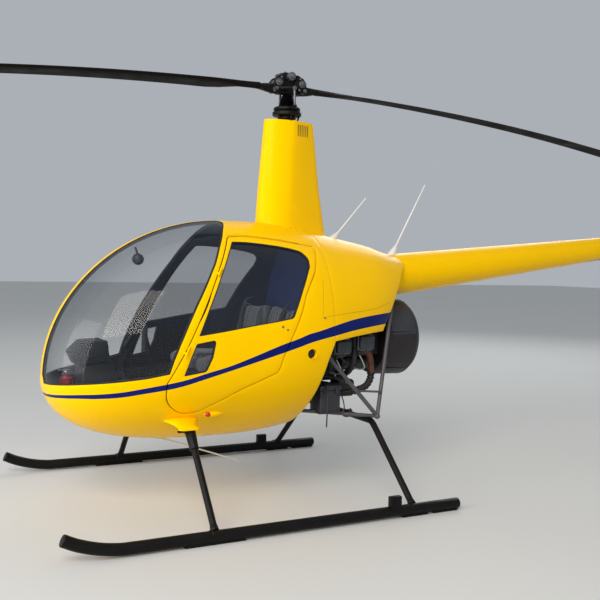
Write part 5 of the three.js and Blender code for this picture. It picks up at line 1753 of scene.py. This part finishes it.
class HELI_OT_details(bpy.types.Operator):
    """Hinges, latches, vent rims and seams on the skin"""
    bl_idname = "heli.details"
    bl_label = "Skin details"

    def execute(self, context):
        ends, along = hinge_line()
        for label, body, sign in (("door", "left_door", 1), ("post", "airframe", -1)):
            parts = []
            for base in ends:
                middle = base + along * sign * 17
                foot = middle + Vector((-7 * sign, -HINGE_PROUD - 9, -6 * sign))
                parts += [rod("barrel", base + along * sign * 0.5, base + along * sign * 30, 12, sides=20),
                          rod("barrel_arm", middle, foot, 8, 13, 16)]
            pair(joined(f"hinge_{label}_left", parts), "enamel_plain", body)
        # Columns: group, body, then x, z and width of each latch button
        for group, body, buttons in (
                ("door", "left_door", ((266, 1098, 15), (234, 1080, 13))),
                ("cabin", "airframe", ((-29, 1146, 13),))):
            parts = []
            for x, z, width in buttons:
                y, half = skin_y(x, z), width * 0.36
                parts += [rod("latch_button", (x, y - 3, z), (x, y + 4, z), width, width - 2, 24, 1),
                          box("latch_slot", (x - half, x + half), (y + 2, y + 5), (z - 1.2, z + 1.2), 0.5, 1)]
            pair(joined(f"latches_{group}_left", parts), "steel_dull", body)
        vent_y = skin_y(*VENT)
        # Profiles of the vent's rim and of the duct behind it; columns: radius, distance out from the skin
        for name, finish, profile in (
                ("vent_rim_left", "enamel_plain", ((30, -24), (30, 1), (32, 3), (36, 2),
                    (39, -5), (36, -24))),
                ("vent_duct_left", "rubber", ((2, -26), (2, -22), (30.5, -22), (30.5, -26)))):
            profile = [(radius, vent_y + out) for radius, out in profile]
            pair(spun(name, profile, "Y", (VENT[0], 0, VENT[1]), 36), finish)
        # Darker yellow strips along the laps of the skin: painted shadow, with some dirt
        seams = [
            scored("roof_seam", [(50, 1598), (161, 1616), (269, 1628), (373, 1637),
                (443, 1640), (520, 1634)]),
            scored("cowl_seam", [(-49, 1376), (-36, 1300), (-22, 1210), (-14, 1147),
                (-76, 1157), (-234, 1172),
                                 (-359, 1181), (-491, 1197), (-619, 1232)]),
        ]
        pair(joined("skin_seams_left", seams), "seam")
        return {"FINISHED"}


# The photograph's camera: its place, its yaw, pitch and roll in degrees
CAMERA, CAMERA_ANGLES = (2448.6, 4989.3, 1487.2), (242.700, -2.631, 1.240)
# Focal length and picture in pixels, and the sensor's width in millimetres
FOCAL, PICTURE, SENSOR_MM = 840.15, 600, 36
# Lights; columns: name, place, size, power, colour
LIGHTS = (
    ("key", (7.0, 7.5, 7.5), 6.5, 980, "#fff8ee"), ("fill", (8.5, 1.0, 2.6), 5.0, 330, "#fbfaff"),
    ("back", (-7.0, -7.0, 7.0), 6.0, 260, "#ffffff"))
# The place that the lights point at
LIT = (0.3, 0, 1.0)


class HELI_OT_stage(bpy.types.Operator):
    """Plain pale floor, soft lights and the camera"""
    bl_idname = "heli.stage"
    bl_label = "Stage"

    def execute(self, context):
        material, tree, coords = start_material("pale_floor", "white_plastic")
        shade, _ = shades(tree, coords, linear("#cfcfcc"), 0.015, 2500)
        end_material(tree, {"Base Color": shade, "Roughness": 0.8})
        bpy.ops.mesh.primitive_plane_add(size=90, location=(0, 0, -0.001))
        floor = added("floor")
        floor.data.materials.append(material)
        world = bpy.data.worlds.new("studio")
        bpy.context.scene.world = world
        world.use_nodes = True
        sky = world.node_tree.nodes["Background"]
        sky.inputs["Color"].default_value = linear("#dfe6ee")
        sky.inputs["Strength"].default_value = 0.55
        bpy.context.scene.view_settings.view_transform = "Standard"
        for name, place, size, power, tint in LIGHTS:
            bpy.ops.object.light_add(type="AREA", location=place)
            light = bpy.context.object
            light.name = name
            light.data.size = size
            light.data.energy = power
            light.data.color = linear(tint)[:3]
            light.rotation_euler = (Vector(LIT) - Vector(place)).to_track_quat("-Z", "Y").to_euler()
        bpy.ops.object.camera_add()
        camera = bpy.context.object
        yaw, pitch, roll = (radians(a) for a in CAMERA_ANGLES)
        ahead = Vector((cos(yaw) * cos(pitch), sin(yaw) * cos(pitch), sin(pitch)))
        right = ahead.cross(Vector((0, 0, 1))).normalized()
        up = right.cross(ahead)
        turn = Matrix((right * cos(roll) + up * sin(roll),
            up * cos(roll) - right * sin(roll),
                       -ahead)).transposed()
        camera.matrix_world = Matrix.Translation(at(*CAMERA)) @ turn.to_4x4()
        camera.data.sensor_width = SENSOR_MM
        camera.data.lens = SENSOR_MM * FOCAL / PICTURE
        bpy.context.scene.camera = camera
        return {"FINISHED"}


OPERATORS = (
    HELI_OT_stage, HELI_OT_cabin, HELI_OT_doors, HELI_OT_windshield, HELI_OT_cowl,
    HELI_OT_fairing, HELI_OT_mast, HELI_OT_rotor_head, HELI_OT_blades, HELI_OT_tail, HELI_OT_tail_rotor,
    HELI_OT_gear, HELI_OT_aerials, HELI_OT_lamps, HELI_OT_engine_frame, HELI_OT_engine, HELI_OT_exhaust,
    HELI_OT_fan, HELI_OT_seats, HELI_OT_controls, HELI_OT_details,
)


class HELI_PT_panel(bpy.types.Panel):
    """Lists the helicopter's pieces in the sidebar"""
    bl_label = "Helicopter"
    bl_idname = "HELI_PT_panel"
    bl_space_type = "VIEW_3D"
    bl_region_type = "UI"
    bl_category = "Helicopter"

    def draw(self, context):
        for settings in (context.scene.heli_sizes, context.scene.heli_colours):
            for name in settings.bl_rna.properties.keys():
                if name not in ("rna_type", "name"):
                    self.layout.prop(settings, name)
        for operator in OPERATORS:
            self.layout.operator(operator.bl_idname)


CLASSES = (HELI_PG_colours, HELI_PG_sizes) + OPERATORS + (HELI_PT_panel,)


def register():
    """Adds the settings, the operators and the panel."""
    for cls in CLASSES:
        bpy.utils.register_class(cls)
    bpy.types.Scene.heli_sizes = bpy.props.PointerProperty(type=HELI_PG_sizes)
    bpy.types.Scene.heli_colours = bpy.props.PointerProperty(type=HELI_PG_colours)


def unregister():
    """Takes them away again."""
    del bpy.types.Scene.heli_sizes
    del bpy.types.Scene.heli_colours
    for cls in reversed(CLASSES):
        bpy.utils.unregister_class(cls)


# CAD nodes that stay on show, and the finish of each
KEPT = {"firewall": "carpet", "cabin_floor": "floor", "seat_base": "lining", "landing_lamp": "glass"}


def carry_over():
    """Gives the CAD nodes that stay on show the finish of the real piece."""
    for name, obj in frame["nodes"].items():
        if name in KEPT:
            obj.data.materials.clear()
            obj.data.materials.append(MATERIALS[KEPT[name]])
    # The firewall's carpet covers only its cabin side; the engine's side is sheet metal.
    wall = frame["nodes"]["firewall"].data
    wall.materials.append(MATERIALS["sheet"])
    for face in wall.polygons:
        face.material_index = 0 if face.normal.x > 0.3 else 1


def main():
    """Builds everything by its operators."""
    register()
    MATERIALS.update(make_materials())
    carry_over()
    for operator in OPERATORS:
        family, name = operator.bl_idname.split(".")
        getattr(getattr(bpy.ops, family), name)()


if __name__ == "__main__":
    main()
